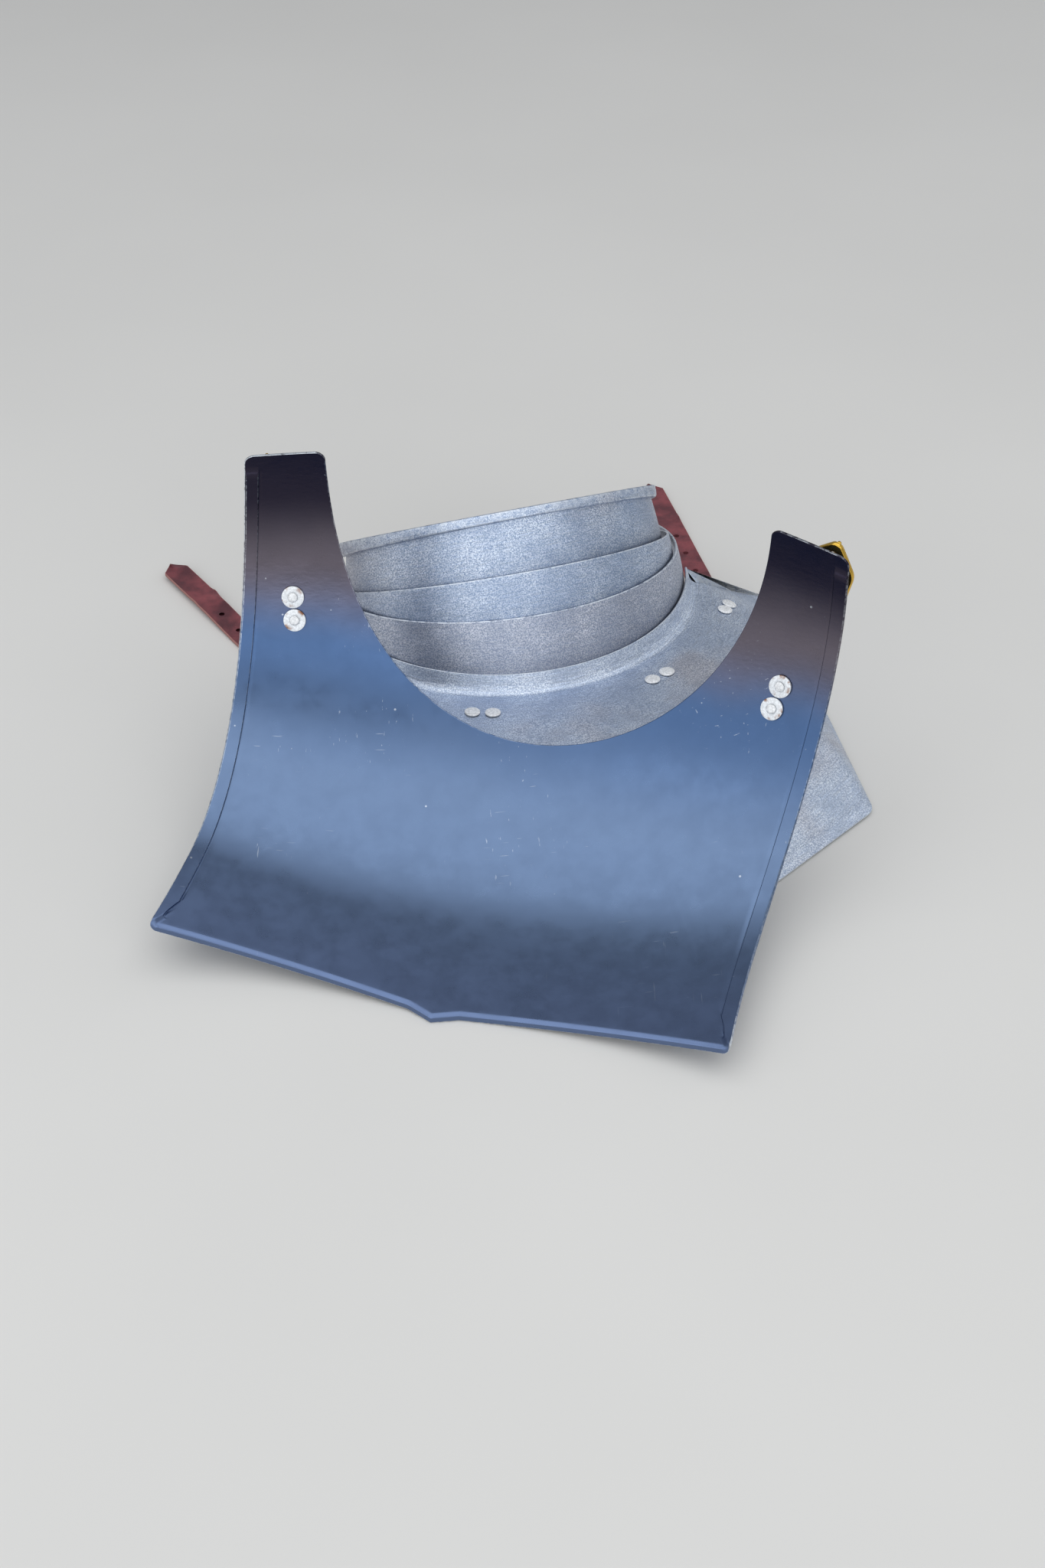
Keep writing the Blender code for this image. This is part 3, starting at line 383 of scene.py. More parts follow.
def wall(face, back, first=(None, 1.0), last=(None, 1.0)):
    """Rows round a wall, from its face and its back. Each edge has its round and its wear."""
    base = sizes().edge_round
    start_round, start_worn = base if first[0] is None else first[0], first[1]
    end_round, end_worn = base if last[0] is None else last[0], last[1]
    rows = edge_arc(face[0], face[1], back[0], start_round, start_worn)[::-1]
    rows += [guard(face[0], face[1]), *face[1:-1], guard(face[-1], face[-2])]
    rows += edge_arc(face[-1], face[-2], back[-1], end_round, end_worn)
    rows += [guard(back[-1], back[-2]), *back[-2:0:-1], guard(back[0], back[1])]
    return np.array(rows)


def behind(face, depth):
    """The grid that lies this deep behind a face grid, mitred where its rows bend."""
    places = face[..., :3]
    along = np.gradient(places, axis=1)
    steps = np.diff(places, axis=0)
    before = np.concatenate([steps[:1], steps])
    after = np.concatenate([steps, steps[-1:]])
    first, second = [unit(np.cross(along, step)) for step in (before, after)]
    middle = unit(first + second)
    mitre = 1 / np.maximum(0.6, (middle * first).sum(axis=2, keepdims=True))
    moved = face.copy()
    moved[..., :3] = places + middle * mitre * depth
    return moved


def placed(grid, place):
    """The grid's points, taken from their group's own frame to the row's."""
    turn, shift = np.array(place.to_3x3()), np.array(place.translation)
    moved = grid.copy()
    moved[..., :3] = grid[..., :3] @ turn.T + shift
    return moved


def worn_ends(grid, amount=1.0):
    grid[:, (0, -1), WEAR_AND_SHADE] = np.maximum(grid[:, (0, -1), WEAR_AND_SHADE], amount)
    return grid


def turned(name, profile, base, axis, finish, sides=40, wobble=0.0, seed=0):
    """A turned piece: profile rows are (radius, height, wear). A hammered one wobbles a little."""
    turn = np.array(Vector((0, 0, 1)).rotation_difference(Vector(axis)).to_matrix())
    phase = np.random.default_rng(seed).uniform(0, 2 * pi, 3)
    grid = np.zeros((sides, len(profile), POINT_SIZE))
    for side in range(sides):
        angle = 2 * pi * side / sides
        swell = 1 + wobble * (sin(2 * angle + phase[0]) + 0.6 * sin(3 * angle + phase[1])
                              + 0.4 * sin(5 * angle + phase[2]))
        for row, (radius, height, worn) in enumerate(profile):
            local = np.array((radius * swell * cos(angle), radius * swell * sin(angle), height))
            grid[side, row] = point(np.array(base) + turn @ local, worn, radius, height)
    return grow(name, grid, finish)


def dome(radius, base, height, steps=9):
    """Rows of a low dome with a short upright edge, from its rim to its top."""
    rows = [(radius * 0.97, base, 1.0), (radius, base + height * 0.18, 0.8)]
    for share in np.linspace(0.12, 1, steps):
        angle = share * pi / 2
        out = max(radius * cos(angle) ** 0.75, radius * 0.02)
        rows.append((out, base + height * (0.3 + 0.7 * sin(angle) ** 0.8), 0.0))
    return rows


# The collar and the front plate, in their group's own frame


def collar_ring(edge, half_width, half_depth):
    side, front = COLLAR_EDGES[edge]
    return half_width, half_depth, side * COLLAR_HEIGHT, front * COLLAR_HEIGHT


def collar_rings():
    """Top and foot ring of each lame and of the flange, nested outwards from the neck."""
    sheet = sizes().sheet
    across, deep = NECK_HALF_WIDTH, NECK_HALF_DEPTH
    rings = {"rim_crease": collar_ring("rim_crease", across, deep)}
    rings["rim"] = collar_ring("rim", across + RIM_FLARE, deep + RIM_FLARE * RIM_FRONT_FLARE)
    across += LAME_FLARE
    deep += LAME_FLARE * TOP_LAME_FRONT_FLARE
    rings["top_foot"] = collar_ring("top_foot", across, deep)
    for piece, (side_play, front_play, side_flare, front_flare) in NESTING.items():
        across += sheet + LAME_PLAY * side_play
        deep += sheet + LAME_PLAY * front_play
        rings[f"{piece}_top"] = collar_ring(f"{piece}_top", across, deep)
        across += LAME_FLARE * side_flare
        deep += LAME_FLARE * front_flare
        foot = f"{piece}_base" if piece == "flange" else f"{piece}_foot"
        rings[foot] = collar_ring(foot, across, deep)
    return rings


def on_ring(ring, angle):
    half_width, half_depth, side, front = ring
    return np.array((half_width * sin(angle), -half_depth * cos(angle), side + (front - side) * cos(angle)))


def collar_outward(ring, angle):
    return unit(np.array((sin(angle) / ring[0], -cos(angle) / ring[1], 0)))


def plate_edge(angle):
    """Point of the front plate's outline where the line at this angle round the neck ends."""
    tip = np.array((0, -TIP_REACH, -TIP_DROP))
    turn = abs(angle)
    front_rate = CORNER_ANGLE / np.linalg.norm(CORNER - tip)
    side_rate = (PLATE_END_ANGLE - CORNER_ANGLE) / np.linalg.norm(SHOULDER - CORNER)
    tip_turn = TIP_ROUND * front_rate
    start, end = CORNER_ANGLE - CORNER_ROUND * front_rate, CORNER_ANGLE + CORNER_ROUND * side_rate
    side_share = (turn - CORNER_ANGLE) / (PLATE_END_ANGLE - CORNER_ANGLE)
    if turn < tip_turn:
        far = between(tip, CORNER, tip_turn / CORNER_ANGLE)
        spot = rounded(far * (-1, 1, 1), tip, far, 0.5 + 0.5 * turn / tip_turn)
    elif turn < start:
        spot = between(tip, CORNER, turn / CORNER_ANGLE)
    elif turn <= end:
        before = between(tip, CORNER, start / CORNER_ANGLE)
        after = between(CORNER, SHOULDER, CORNER_ROUND * side_rate / (PLATE_END_ANGLE - CORNER_ANGLE))
        spot = rounded(before, CORNER, after, (turn - start) / (end - start))
    else:
        spot = between(CORNER, SHOULDER, side_share)
    return spot * (-1 if angle < 0 else 1, 1, 1)


def plate_point(base, angle, share):
    """Point of the front plate's outside, as a share of the way from the flange to the outline."""
    start, end = on_ring(base, angle), plate_edge(angle)
    level = unit((end - start) * (1, 1, 0))
    crown = CROWN_FRONT + (CROWN_SIDE - CROWN_FRONT) * min(1, abs(angle) / PLATE_END_ANGLE)
    half = np.linalg.norm(end - start) / 2
    middle = start + half * (level * cos(crown) - UP_AXIS * sin(crown))
    return rounded(start, middle, end, share)


def plate_normal(base, angle, share):
    step = 0.01
    outward = plate_point(base, angle, share + step) - plate_point(base, angle, share - step)
    sideways = plate_point(base, angle + step, share) - plate_point(base, angle - step, share)
    return unit(np.cross(outward, sideways))


def row_share(base, angle, distance):
    return distance / np.linalg.norm(plate_edge(angle) - on_ring(base, angle))


def run_per_turn(base, angle):
    """Length along the plate's rivet row for each radian round the neck."""
    share, step = row_share(base, angle, RIVET_ROW), 0.01
    apart = plate_point(base, angle + step, share) - plate_point(base, angle - step, share)
    return np.linalg.norm(apart) / (2 * step)


def plate_angles():
    """Angles of the front plate's lines, closer together at the tip, the corners and the shoulders' ends."""
    tip = np.concatenate([np.linspace(0, 0.05, 7), np.linspace(0.05, 0.93, 60)[1:]]) * CORNER_ANGLE
    turn = np.linspace(0.94, 1.02, 26) * CORNER_ANGLE
    side = np.linspace(1.03 * CORNER_ANGLE, PLATE_END_ANGLE - 0.004, 56)
    half = np.concatenate([tip, turn, side, [PLATE_END_ANGLE - 0.0015, PLATE_END_ANGLE]])
    return np.concatenate([-half[:0:-1], half])


def plate_face(rings):
    """Face grid of the front plate: flange, crease, crowned plate and bevelled border."""
    top, base = rings["flange_top"], rings["flange_base"]
    border_width, sink = sizes().plate_border, sizes().border_sink
    columns = []
    for angle in plate_angles():
        head, foot = on_ring(top, angle), on_ring(base, angle)
        drop = foot - head
        level = drop * (1, 1, 0)
        fall = drop - level
        wall_foot = head + level * 0.1 + fall * 0.55
        bend = head + level * 0.3 + fall
        around = angle * 0.09
        rows = [point(between(head, wall_foot, share), 0.25 * (1 - share), around, PLATE_LAY + share * 0.006)
                for share in (0, 0.12, 0.3, 0.55, 0.8, 1)]
        rows += [point(rounded(wall_foot, bend, foot, share), 0, around, PLATE_LAY + 0.006 + share * 0.004)
                 for share in (0.14, 0.28, 0.42, 0.56, 0.7, 0.85)]
        run = np.linalg.norm(plate_edge(angle) - foot)
        slope = plate_edge(angle) - plate_point(base, angle, 0.98)
        trend = plate_edge(angle + 0.002) - plate_edge(angle - 0.002)
        if abs(angle) >= PLATE_END_ANGLE - 0.002:
            trend = plate_edge(angle) - plate_edge(angle * 0.998)
        lean = np.linalg.norm(np.cross(unit(slope), unit(trend)))
        share_of = 0.02 / np.linalg.norm(slope) / lean
        for share in np.linspace(0, 1, 26):
            reach = share * (1 - (border_width + 0.0015) * share_of)
            rows.append(point(plate_point(base, angle, reach), 0, angle * 0.15, PLATE_LAY + 0.012 + reach * run))
        for step in np.linspace(0, 1, 9):
            reach = 1 - (border_width + 0.0012 - step * 0.0034) * share_of
            deep = sink * (3 * step**2 - 2 * step**3)
            spot = plate_point(base, angle, reach) - plate_normal(base, angle, min(reach, 0.97)) * deep
            rows.append(point(spot, 0.15 * sin(step * pi), angle * 0.15, PLATE_LAY + 0.012 + reach * run))
        for step in (0.25, 0.5, 0.75, 0.9, 1):
            reach = 1 - (border_width - 0.0022) * (1 - step) * share_of
            spot = plate_point(base, angle, reach) - plate_normal(base, angle, min(reach, 0.97)) * sink
            rows.append(point(spot, 0.12, angle * 0.15, PLATE_LAY + 0.012 + reach * run))
        columns.append(rows)
    return np.array(columns).transpose(1, 0, 2)


def lame_face(top, foot, lay, rim=None):
    """Face and back grid of a half-round lame, with painted shade darkening it towards its foot. The top one carries
    the rolled rim.
    """
    sheet, roll = sizes().sheet, sizes().rim_roll
    inner_end = LAME_END_ANGLE - 0.006
    angles = np.concatenate([[-LAME_END_ANGLE], np.linspace(-inner_end, inner_end, 181), [LAME_END_ANGLE]])
    faces, backs = [], []
    for angle in angles:
        head, base = on_ring(top, angle), on_ring(foot, angle)
        outward = collar_outward(top, angle)
        tall = np.linalg.norm(base - head)
        around = angle * 0.08
        shares = (0, 0.06, 0.14, 0.26, 0.4, 0.55, 0.7, 0.85, 0.95, 1)
        # Painted shade: values below zero darken the lame towards its foot, more on the half at positive angles; 0.4
        # at the top edge is wear.
        dark = (0.4, 0, 0, 0, -0.1, -0.25, -0.45, -0.75, -1, -1)
        side = 0.45 + 0.55 * max(0, sin(angle + 0.25))
        rows, inner = [], []
        for share, shade in zip(shares, dark):
            spot = between(head, base, share) + outward * 0.0004 * sin(pi * share)
            rows.append(point(spot, min(shade, 0) * side + max(shade, 0), around, lay + share * tall))
            inner.append(point(spot - outward * sheet, 0, around, lay + share * tall))
        if rim:
            brim = on_ring(rim, angle)
            rise, lip = brim - head, outward * roll
            low = head + rise * 0.14 + lip * 0.74
            crest = brim - outward * sheet * 0.7
            band = [point(rounded(crest, brim + rise * 0.06, between(brim, low, 0.3), s),
                          0.9 - 0.4 * s, around, -0.008 + s * 0.003)
                    for s in (0, 0.2, 0.4, 0.6, 0.8, 1)]
            band += [point(between(brim, low, s) + outward * 0.0002 * sin(pi * s),
                           0.45, around, -0.005 + s * 0.003)
                     for s in (0.45, 0.6, 0.75, 0.9)]
            tuck = head + rise * 0.02 + lip * 0.4
            band += [point(rounded(between(brim, low, 0.93), low - rise * 0.08, tuck, s),
                           1 - s, around, -0.002 + s * 0.001)
                     for s in (0.2, 0.4, 0.6, 0.8, 1)]
            band.append(point(head + rise * 0.05 + outward * 0.0002, 0, around, 0))
            inside = [point(brim - lip * s - rise * fall, 0.4, around, -0.008)
                      for s, fall in ((0.45, -0.02), (0.75, 0.03), (0.9, 0.15), (0.86, 0.3))]
            inside += [point(head + rise * s - outward * sheet * (1 + 0.5 * s), 0, around, -0.004)
                       for s in (0.5, 0.3, 0.15)]
            rows, inner = band + rows, inside + inner
        faces.append(rows)
        backs.append(inner)
    return np.array(faces).transpose(1, 0, 2), np.array(backs).transpose(1, 0, 2)


def front_place():
    """Where the front group stands, from its turn and the box of the CAD's front plate."""
    lean = atan2(TIP_DROP - -SHOULDER[2], SHOULDER[1] + TIP_REACH)
    turn = Matrix.Rotation(FRONT_YAW, 4, "Z") @ Matrix.Rotation(-lean, 4, "X")
    face = placed(plate_face(collar_rings()), turn)
    low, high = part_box("front_plate")
    middle = (face[..., :3].min(axis=(0, 1)) + face[..., :3].max(axis=(0, 1))) / 2
    shift = np.array((low + high) / 2) - middle
    floor = placed(behind(plate_face(collar_rings()), sizes().sheet), turn)[..., 2].min()
    shift[2] = low[2] - min(floor, face[..., 2].min())
    return Matrix.Translation(Vector(shift)) @ turn


# Leather


def lengths(spots):
    """Length run at each of these places along their line."""
    return np.concatenate([[0], np.cumsum(np.linalg.norm(np.diff(spots, axis=0), axis=1))])


def strip(path, half_widths, thickness, across_rows=9, crown=0.0):
    """Face and back grid of a leather strip. Path rows are (place, upper side, heading)."""
    total = lengths([row[0] for row in path])
    face, back = [], []
    for (spot, upper, heading), half, run in zip(path, half_widths, total):
        across = unit(np.cross(heading, upper))
        tops, lows = [], []
        for share in np.linspace(-1, 1, across_rows):
            lift = upper * (thickness / 2 - crown * share**2)
            tops.append(point(spot + across * half * share + lift, 0, run, half * share))
            lows.append(point(spot + across * half * share - upper * thickness / 2, 0, run, half * share))
        face.append(tops)
        back.append(lows)
    return np.array(face).transpose(1, 0, 2), np.array(back).transpose(1, 0, 2)


def smooth_path(spots, uppers, count):
    """A smooth line through a few points, each with its upper side, cut into equal steps."""
    spots, uppers = np.array(spots), np.array(uppers)
    run = lengths(spots)
    slopes = np.gradient(spots, run, axis=0)
    path = []
    for distance in np.linspace(0, run[-1], count):
        part = min(np.searchsorted(run, distance, side="right") - 1, len(run) - 2)
        gap = run[part + 1] - run[part]
        s = (distance - run[part]) / gap
        spot = ((2 * s**3 - 3 * s**2 + 1) * spots[part] + (s**3 - 2 * s**2 + s) * gap * slopes[part]
                + (3 * s**2 - 2 * s**3) * spots[part + 1] + (s**3 - s**2) * gap * slopes[part + 1])
        path.append([spot, between(uppers[part], uppers[part + 1], s)])
    headings = unit(np.gradient(np.array([row[0] for row in path]), axis=0))
    return [(spot, unit(upper - heading * (upper @ heading)), heading)
            for (spot, upper), heading in zip(path, headings)]


def leather_path(rings, angle):
    """Line of a lame leather's middle: inside the lames, then out under the plate."""
    sheet, leather = sizes().sheet, sizes().leather
    outward = unit(np.array((sin(angle) / NECK_HALF_WIDTH, -cos(angle) / NECK_HALF_DEPTH, 0)))
    inside = outward * (sheet + FIT + leather / 2)
    crease, foot = on_ring(rings["rim_crease"], angle), on_ring(rings["top_foot"], angle)
    path = [(between(crease, foot, 0.55) - inside, outward), (foot - inside, outward)]
    for lame in ("middle", "bottom"):
        top, foot = on_ring(rings[f"{lame}_top"], angle), on_ring(rings[f"{lame}_foot"], angle)
        path += [(between(top, foot, 0.8) - inside, outward), (foot - inside, outward)]
    base = rings["flange_base"]
    below = path[-1][0].copy()
    below[2] = on_ring(base, angle)[2] - sheet - FIT - leather
    path.append((below, unit(outward + plate_normal(base, angle, 0.02))))
    for distance in (0.4, 0.7, 1, 1.4):
        share = row_share(base, angle, RIVET_ROW * distance)
        normal = plate_normal(base, angle, share)
        path.append((plate_point(base, angle, share) - normal * (sheet + FIT + leather / 2), normal))
    return path


def strap_path(rings, place, side, drop_heading, floor_heading, free_length):
    """Points of a billet strap: under the shoulder, past its edge, down to the floor and along it."""
    base = rings["flange_base"]
    leather = sizes().leather
    turn_matrix, origin = np.array(place.to_3x3()), np.array(place.translation)
    angle = side * STRAP_RIVET_ANGLE
    run = run_per_turn(base, angle)
    edge_run = (PLATE_END_ANGLE - STRAP_RIVET_ANGLE) * run + STRAP_CLEAR
    under = sizes().sheet + FIT + sizes().strap_width**2 / 8 / NECK_HALF_DEPTH + leather / 2
    spots, uppers = [], []
    for step in np.linspace(-STRAP_ROOT, edge_run, 7):
        turn = angle + side * step / run
        spot = row_share(base, side * min(side * turn, PLATE_END_ANGLE), RIVET_ROW)
        normal = plate_normal(base, turn, spot)
        spots.append(turn_matrix @ (plate_point(base, turn, spot) - normal * under) + origin)
        uppers.append(turn_matrix @ normal)
    leave, start = unit(spots[-1] - spots[-2]), spots[-1]
    land = start + np.array((cos(drop_heading), sin(drop_heading), 0)) * STRAP_DROP
    land[2] = leather / 2 + STRAP_LIFT
    floor = np.array((cos(floor_heading), sin(floor_heading), 0))
    pull = STRAP_DROP * 0.42
    controls = (start, start + leave * pull, land - floor * pull, land)
    root_normal = uppers[-1]
    for s in np.linspace(0, 1, 10)[1:]:
        weights = ((1 - s) ** 3, 3 * s * (1 - s) ** 2, 3 * s * s * (1 - s), s**3)
        spots.append(sum(weight * control for weight, control in zip(weights, controls)))
        uppers.append(unit(between(root_normal, UP_AXIS, max(0, (s - 0.45) / 0.55))))
    used = np.linalg.norm(np.diff(spots[6:], axis=0), axis=1).sum()
    left = free_length - used
    for part in np.linspace(0, 1, 9)[1:]:
        spots.append(land + floor * left * part)
        uppers.append(UP_AXIS)
    return spots, uppers, land, floor, left


# The back plate, in its group's own frame


def back_normal(across, up):
    curl = max(up - CURL_START, 0) / CURL_RADIUS
    bow = across / CROSS_RADIUS
    return np.array((-sin(bow), -cos(bow) * sin(curl), cos(bow) * cos(curl)))


def back_point(across, up, lift=0.0):
    """Point of the back plate's inside, lifted this far off it towards the inside."""
    curl = max(up - CURL_START, 0) / CURL_RADIUS
    bow = across / CROSS_RADIUS
    rise = CROSS_RADIUS * (1 - cos(bow))
    along = CURL_RADIUS * sin(curl) if up > CURL_START else up - CURL_START
    height = CURL_RADIUS * (1 - cos(curl)) + rise * cos(curl)
    spot = np.array((CROSS_RADIUS * sin(bow), along - rise * sin(curl), height))
    return spot + lift * back_normal(across, up)


def side_edge(share):
    """Side of the back plate, as a share of the way up from its bottom corner to the arm's top."""
    weights = ((1 - share) ** 3, 3 * share * (1 - share) ** 2, 3 * share**2 * (1 - share), share**3)
    half = BACK_HALF_WIDTH * sum(weight * width for weight, width in zip(weights, SIDE_CURVE))
    return np.array((half, -BACK_BELOW_NECK + (ARM_TOP + BACK_BELOW_NECK) * share))


def bottom_edge(share):
    """Bottom of the back plate, as a share of the way in from the corner to the middle."""
    across = BACK_HALF_WIDTH * (1 - share)
    arch = 4 * BOTTOM_ARCH * share * (1 - share)
    keel = KEEL_TIP * max(0, 1 - across / KEEL_HALF_WIDTH)
    return np.array((across, -BACK_BELOW_NECK + arch - keel))


def neckline(angle):
    first, second = NECKLINE_POWERS
    across = NECKLINE_HALF_WIDTH * max(cos(angle), 0) ** (2 / first)
    return np.array((across, NECKLINE_HEIGHT * (1 - sin(angle) ** (2 / second))))


def back_lines():
    """Lines across the right half: (outer point, run of the edge, inner point, hem, flange, shortening)."""
    tall = ARM_TOP + BACK_BELOW_NECK
    arm_round = sizes().arm_round
    lines = []
    shares = [(1 - arm_round * (1 - cos(turn)) / tall, arm_round * (1 - sin(turn)))
              for turn in np.linspace(0, pi / 2, 9)]
    shares += [(share, 0) for share in (0.978, 0.968, 0.963, 0.958)]
    shares += [(share, 0) for share in np.linspace(0.95, 0.04, 74)]
    for share, pull in shares:
        trend = unit(side_edge(share + 0.005) - side_edge(share - 0.005))
        hem = min(1, max(0, (0.968 - share) / 0.01))
        lines.append((side_edge(share), trend, neckline(NECKLINE_TURN * (1 - share)), hem, 0, pull))
    start, corner, end = side_edge(0.015), side_edge(0), bottom_edge(0.032)
    for turn in np.linspace(0, 1, 11):
        outer = rounded(start, corner, end, turn)
        trend = unit(rounded(start, corner, end, turn + 0.01) - rounded(start, corner, end, turn - 0.01))
        inner = neckline(NECKLINE_TURN * (0.985 + 0.015 * turn) + (pi / 2 - NECKLINE_TURN) * 0.032 * turn)
        hem = min(1, max(0, 2.2 - 3 * turn))
        lines.append((outer, trend, inner, hem, min(1, max(0, turn * 1.5 - 0.4)), 0))
    keel = 1 - KEEL_HALF_WIDTH / BACK_HALF_WIDTH
    for share in [*np.linspace(0.045, keel, 56), *np.linspace(keel, 1, 9)[1:]]:
        trend = unit(bottom_edge(min(share + 0.004, 1)) - bottom_edge(share - 0.004))
        inner = neckline(NECKLINE_TURN + (pi / 2 - NECKLINE_TURN) * share)
        lines.append((bottom_edge(share), trend, inner, 0, 1, 0))
    return lines


def turned_down(from_bend, lift, flange):
    """Place on the section of the bottom's turned-out flange: distance in from its outer face, and lift."""
    sheet = sizes().sheet
    middle_round, outer_round = BEND_ROUND + sheet / 2, BEND_ROUND + sheet
    turn = min(max(from_bend / middle_round, 0), flange * pi / 2)
    past = max(0, from_bend - middle_round * flange * pi / 2)
    radius = outer_round + lift
    if from_bend <= 0:
        return outer_round - from_bend, lift
    away = outer_round - radius * sin(turn) - past * cos(turn)
    return away, -outer_round + radius * cos(turn) - past * sin(turn)


def back_section(outer, trend, inner, hem, flange, pull):
    """Face and back rows of one line: (across, up, lift, wear)."""
    sheet = sizes().sheet
    heading = unit(inner - outer)
    outer, inner = outer + heading * pull, inner - heading * pull
    reach = np.linalg.norm(inner - outer)
    lean = max(0.3, abs(heading[0] * trend[1] - heading[1] * trend[0]))
    depth = reach * lean
    outer_round = BEND_ROUND + sheet
    turned_out = (BEND_ROUND + sheet / 2) * pi / 2 + sizes().bottom_flange - 2 * outer_round
    flat_end = outer_round + flange * turned_out
    border = min(sizes().hem, depth * 0.45)
    crease = border + 0.0005
    face = [(crease + (depth - crease) * share, 0, 0) for share in np.linspace(1, 0.0, 26)[:-1]]
    face += [(crease + 0.0004, 0, 0), (crease, -0.00012 * hem, 0.25 * hem), (border, 0.0, 0.2 * hem)]
    face += [(border - 0.0001, hem * sheet * 0.75, 0.5 * hem), (border - 0.0004, hem * sheet, 0.45 * hem)]
    face += [(border - 0.001, hem * sheet, 0)]
    face += [(border * share, hem * sheet, 0) for share in (0.72, 0.55, 0.4, 0.28, 0.16, 0)]
    back = [(crease + (depth - crease) * share, -sheet, 0) for share in np.linspace(1, 0, 16)]
    back += [(border * share, -sheet, 0) for share in (0.72, 0.55, 0.4, 0.28, 0.16, 0)]
    rows = []
    for part in (face, back):
        done = []
        for distance, lift, worn in part:
            from_bend = outer_round - distance
            if distance < border:
                from_bend = flat_end - distance * (flat_end + border - outer_round) / border
            away, raised = turned_down(from_bend, lift, flange)
            spot = outer + heading * away / lean
            done.append((*spot, raised, worn))
        rows.append(done)
    return rows


def back_grids():
    """Face and back grid of the back plate, and how round its outer edge is along it."""
    face, back, rounds = [], [], []
    half = back_lines()
    sheet, edge = sizes().sheet, sizes().edge_round
    for mirror, lines in ((1, half), (-1, half[-2::-1])):
        for line in lines:
            sections = back_section(*line)
            for grid, rows in zip((face, back), sections):
                grid.append([point(back_point(mirror * across, up, lift), worn, mirror * across, up)
                             for across, up, lift, worn in rows])
            rounds.append(edge + (sheet - edge) * line[3])
    return np.array(face).transpose(1, 0, 2), np.array(back).transpose(1, 0, 2), np.array(rounds)[:, None]


def back_place():
    """Where the back plate lies, from its turn and the box of its CAD node."""
    pitch, roll, yaw = BACK_TURN
    turn = Matrix.Rotation(yaw, 4, "Z") @ Matrix.Rotation(roll, 4, "Y") @ Matrix.Rotation(pitch, 4, "X")
    face, back, _ = back_grids()
    places = np.concatenate([placed(grid, turn)[..., :3].reshape(-1, 3) for grid in (face, back)])
    low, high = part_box("back_plate")
    shift = np.array((low + high) / 2) - (places.min(axis=0) + places.max(axis=0)) / 2
    shift[2] = low[2] - places[:, 2].min()
    return Matrix.Translation(Vector(shift)) @ turn


def arm_stretch():
    """The bow across the plate tightens its curl, so a length up the arm spans more of the curl there."""
    return CURL_RADIUS / (CURL_RADIUS - CROSS_RADIUS * (1 - cos(WASHER_ACROSS / CROSS_RADIUS)))


def arm_place(side, along, across, out):
    """Point outside an arm: along the chape's line, across it, and out from the sheet."""
    over = WASHER_ACROSS + along * sin(CHAPE_TILT) + across * cos(CHAPE_TILT)
    up = WASHER_UP + (along * cos(CHAPE_TILT) - across * sin(CHAPE_TILT)) * arm_stretch()
    return back_point(side * over, up, -sizes().sheet - out)


def arm_axis(side, along):
    over = WASHER_ACROSS + along * sin(CHAPE_TILT)
    return back_normal(side * over, WASHER_UP + along * cos(CHAPE_TILT) * arm_stretch())


# Finishes


def add(tree, kind, links=None, **settings):
    """Adds a node. Links maps its inputs to sockets or to plain values."""
    node = tree.nodes.new(kind)
    for name, value in settings.items():
        setattr(node, name, value)
    for socket, value in (links or {}).items():
        if isinstance(value, bpy.types.NodeSocket):
            tree.links.new(value, node.inputs[socket])
        else:
            node.inputs[socket].default_value = value
    return node


def start_finish(name):
    """A new material with its shader and its two sources of coordinates."""
    made = bpy.data.materials.new(name)
    made.use_nodes = True
    tree = made.node_tree
    shader = tree.nodes["Principled BSDF"]
    coordinates = add(tree, "ShaderNodeTexCoord")
    lay = add(tree, "ShaderNodeUVMap", uv_map="lay")
    # The worn attribute holds wear, and below zero painted shade.
    worn = add(tree, "ShaderNodeAttribute", attribute_name="worn")
    return made, tree, shader, coordinates.outputs["Object"], lay.outputs["UV"], worn.outputs["Fac"]


def noise(tree, where, scale, detail=2.0, roughness=0.5):
    links = {"Vector": where, "Scale": scale, "Detail": detail, "Roughness": roughness}
    return add(tree, "ShaderNodeTexNoise", links).outputs["Fac"]


def ranged(tree, value, low, high, to_low=0.0, to_high=1.0):
    links = {0: value, 1: low, 2: high, 3: to_low, 4: to_high}
    return add(tree, "ShaderNodeMapRange", links, interpolation_type="SMOOTHSTEP").outputs[0]


def math(tree, operation, first, second):
    return add(tree, "ShaderNodeMath", {0: first, 1: second}, operation=operation).outputs[0]


def blend(tree, factor, first, second, kind="MIX"):
    links = {0: factor, 6: first, 7: second}
    return add(tree, "ShaderNodeMix", links, data_type="RGBA", blend_type=kind).outputs[2]


def stretched(tree, where, scale, turn=(0, 0, 0)):
    return add(tree, "ShaderNodeMapping", {"Vector": where, "Scale": scale, "Rotation": turn}).outputs[0]


def bumped(tree, shader, height, distance, strength=1.0, under=None):
    links = {"Height": height, "Distance": distance, "Strength": strength}
    if under:
        links["Normal"] = under
    bump = add(tree, "ShaderNodeBump", links)
    tree.links.new(bump.outputs[0], shader.inputs["Normal"])
    return bump.outputs[0]


def rgba(value):
    return (*value, 1.0)


def darker(value, share):
    return rgba([part * share for part in value])


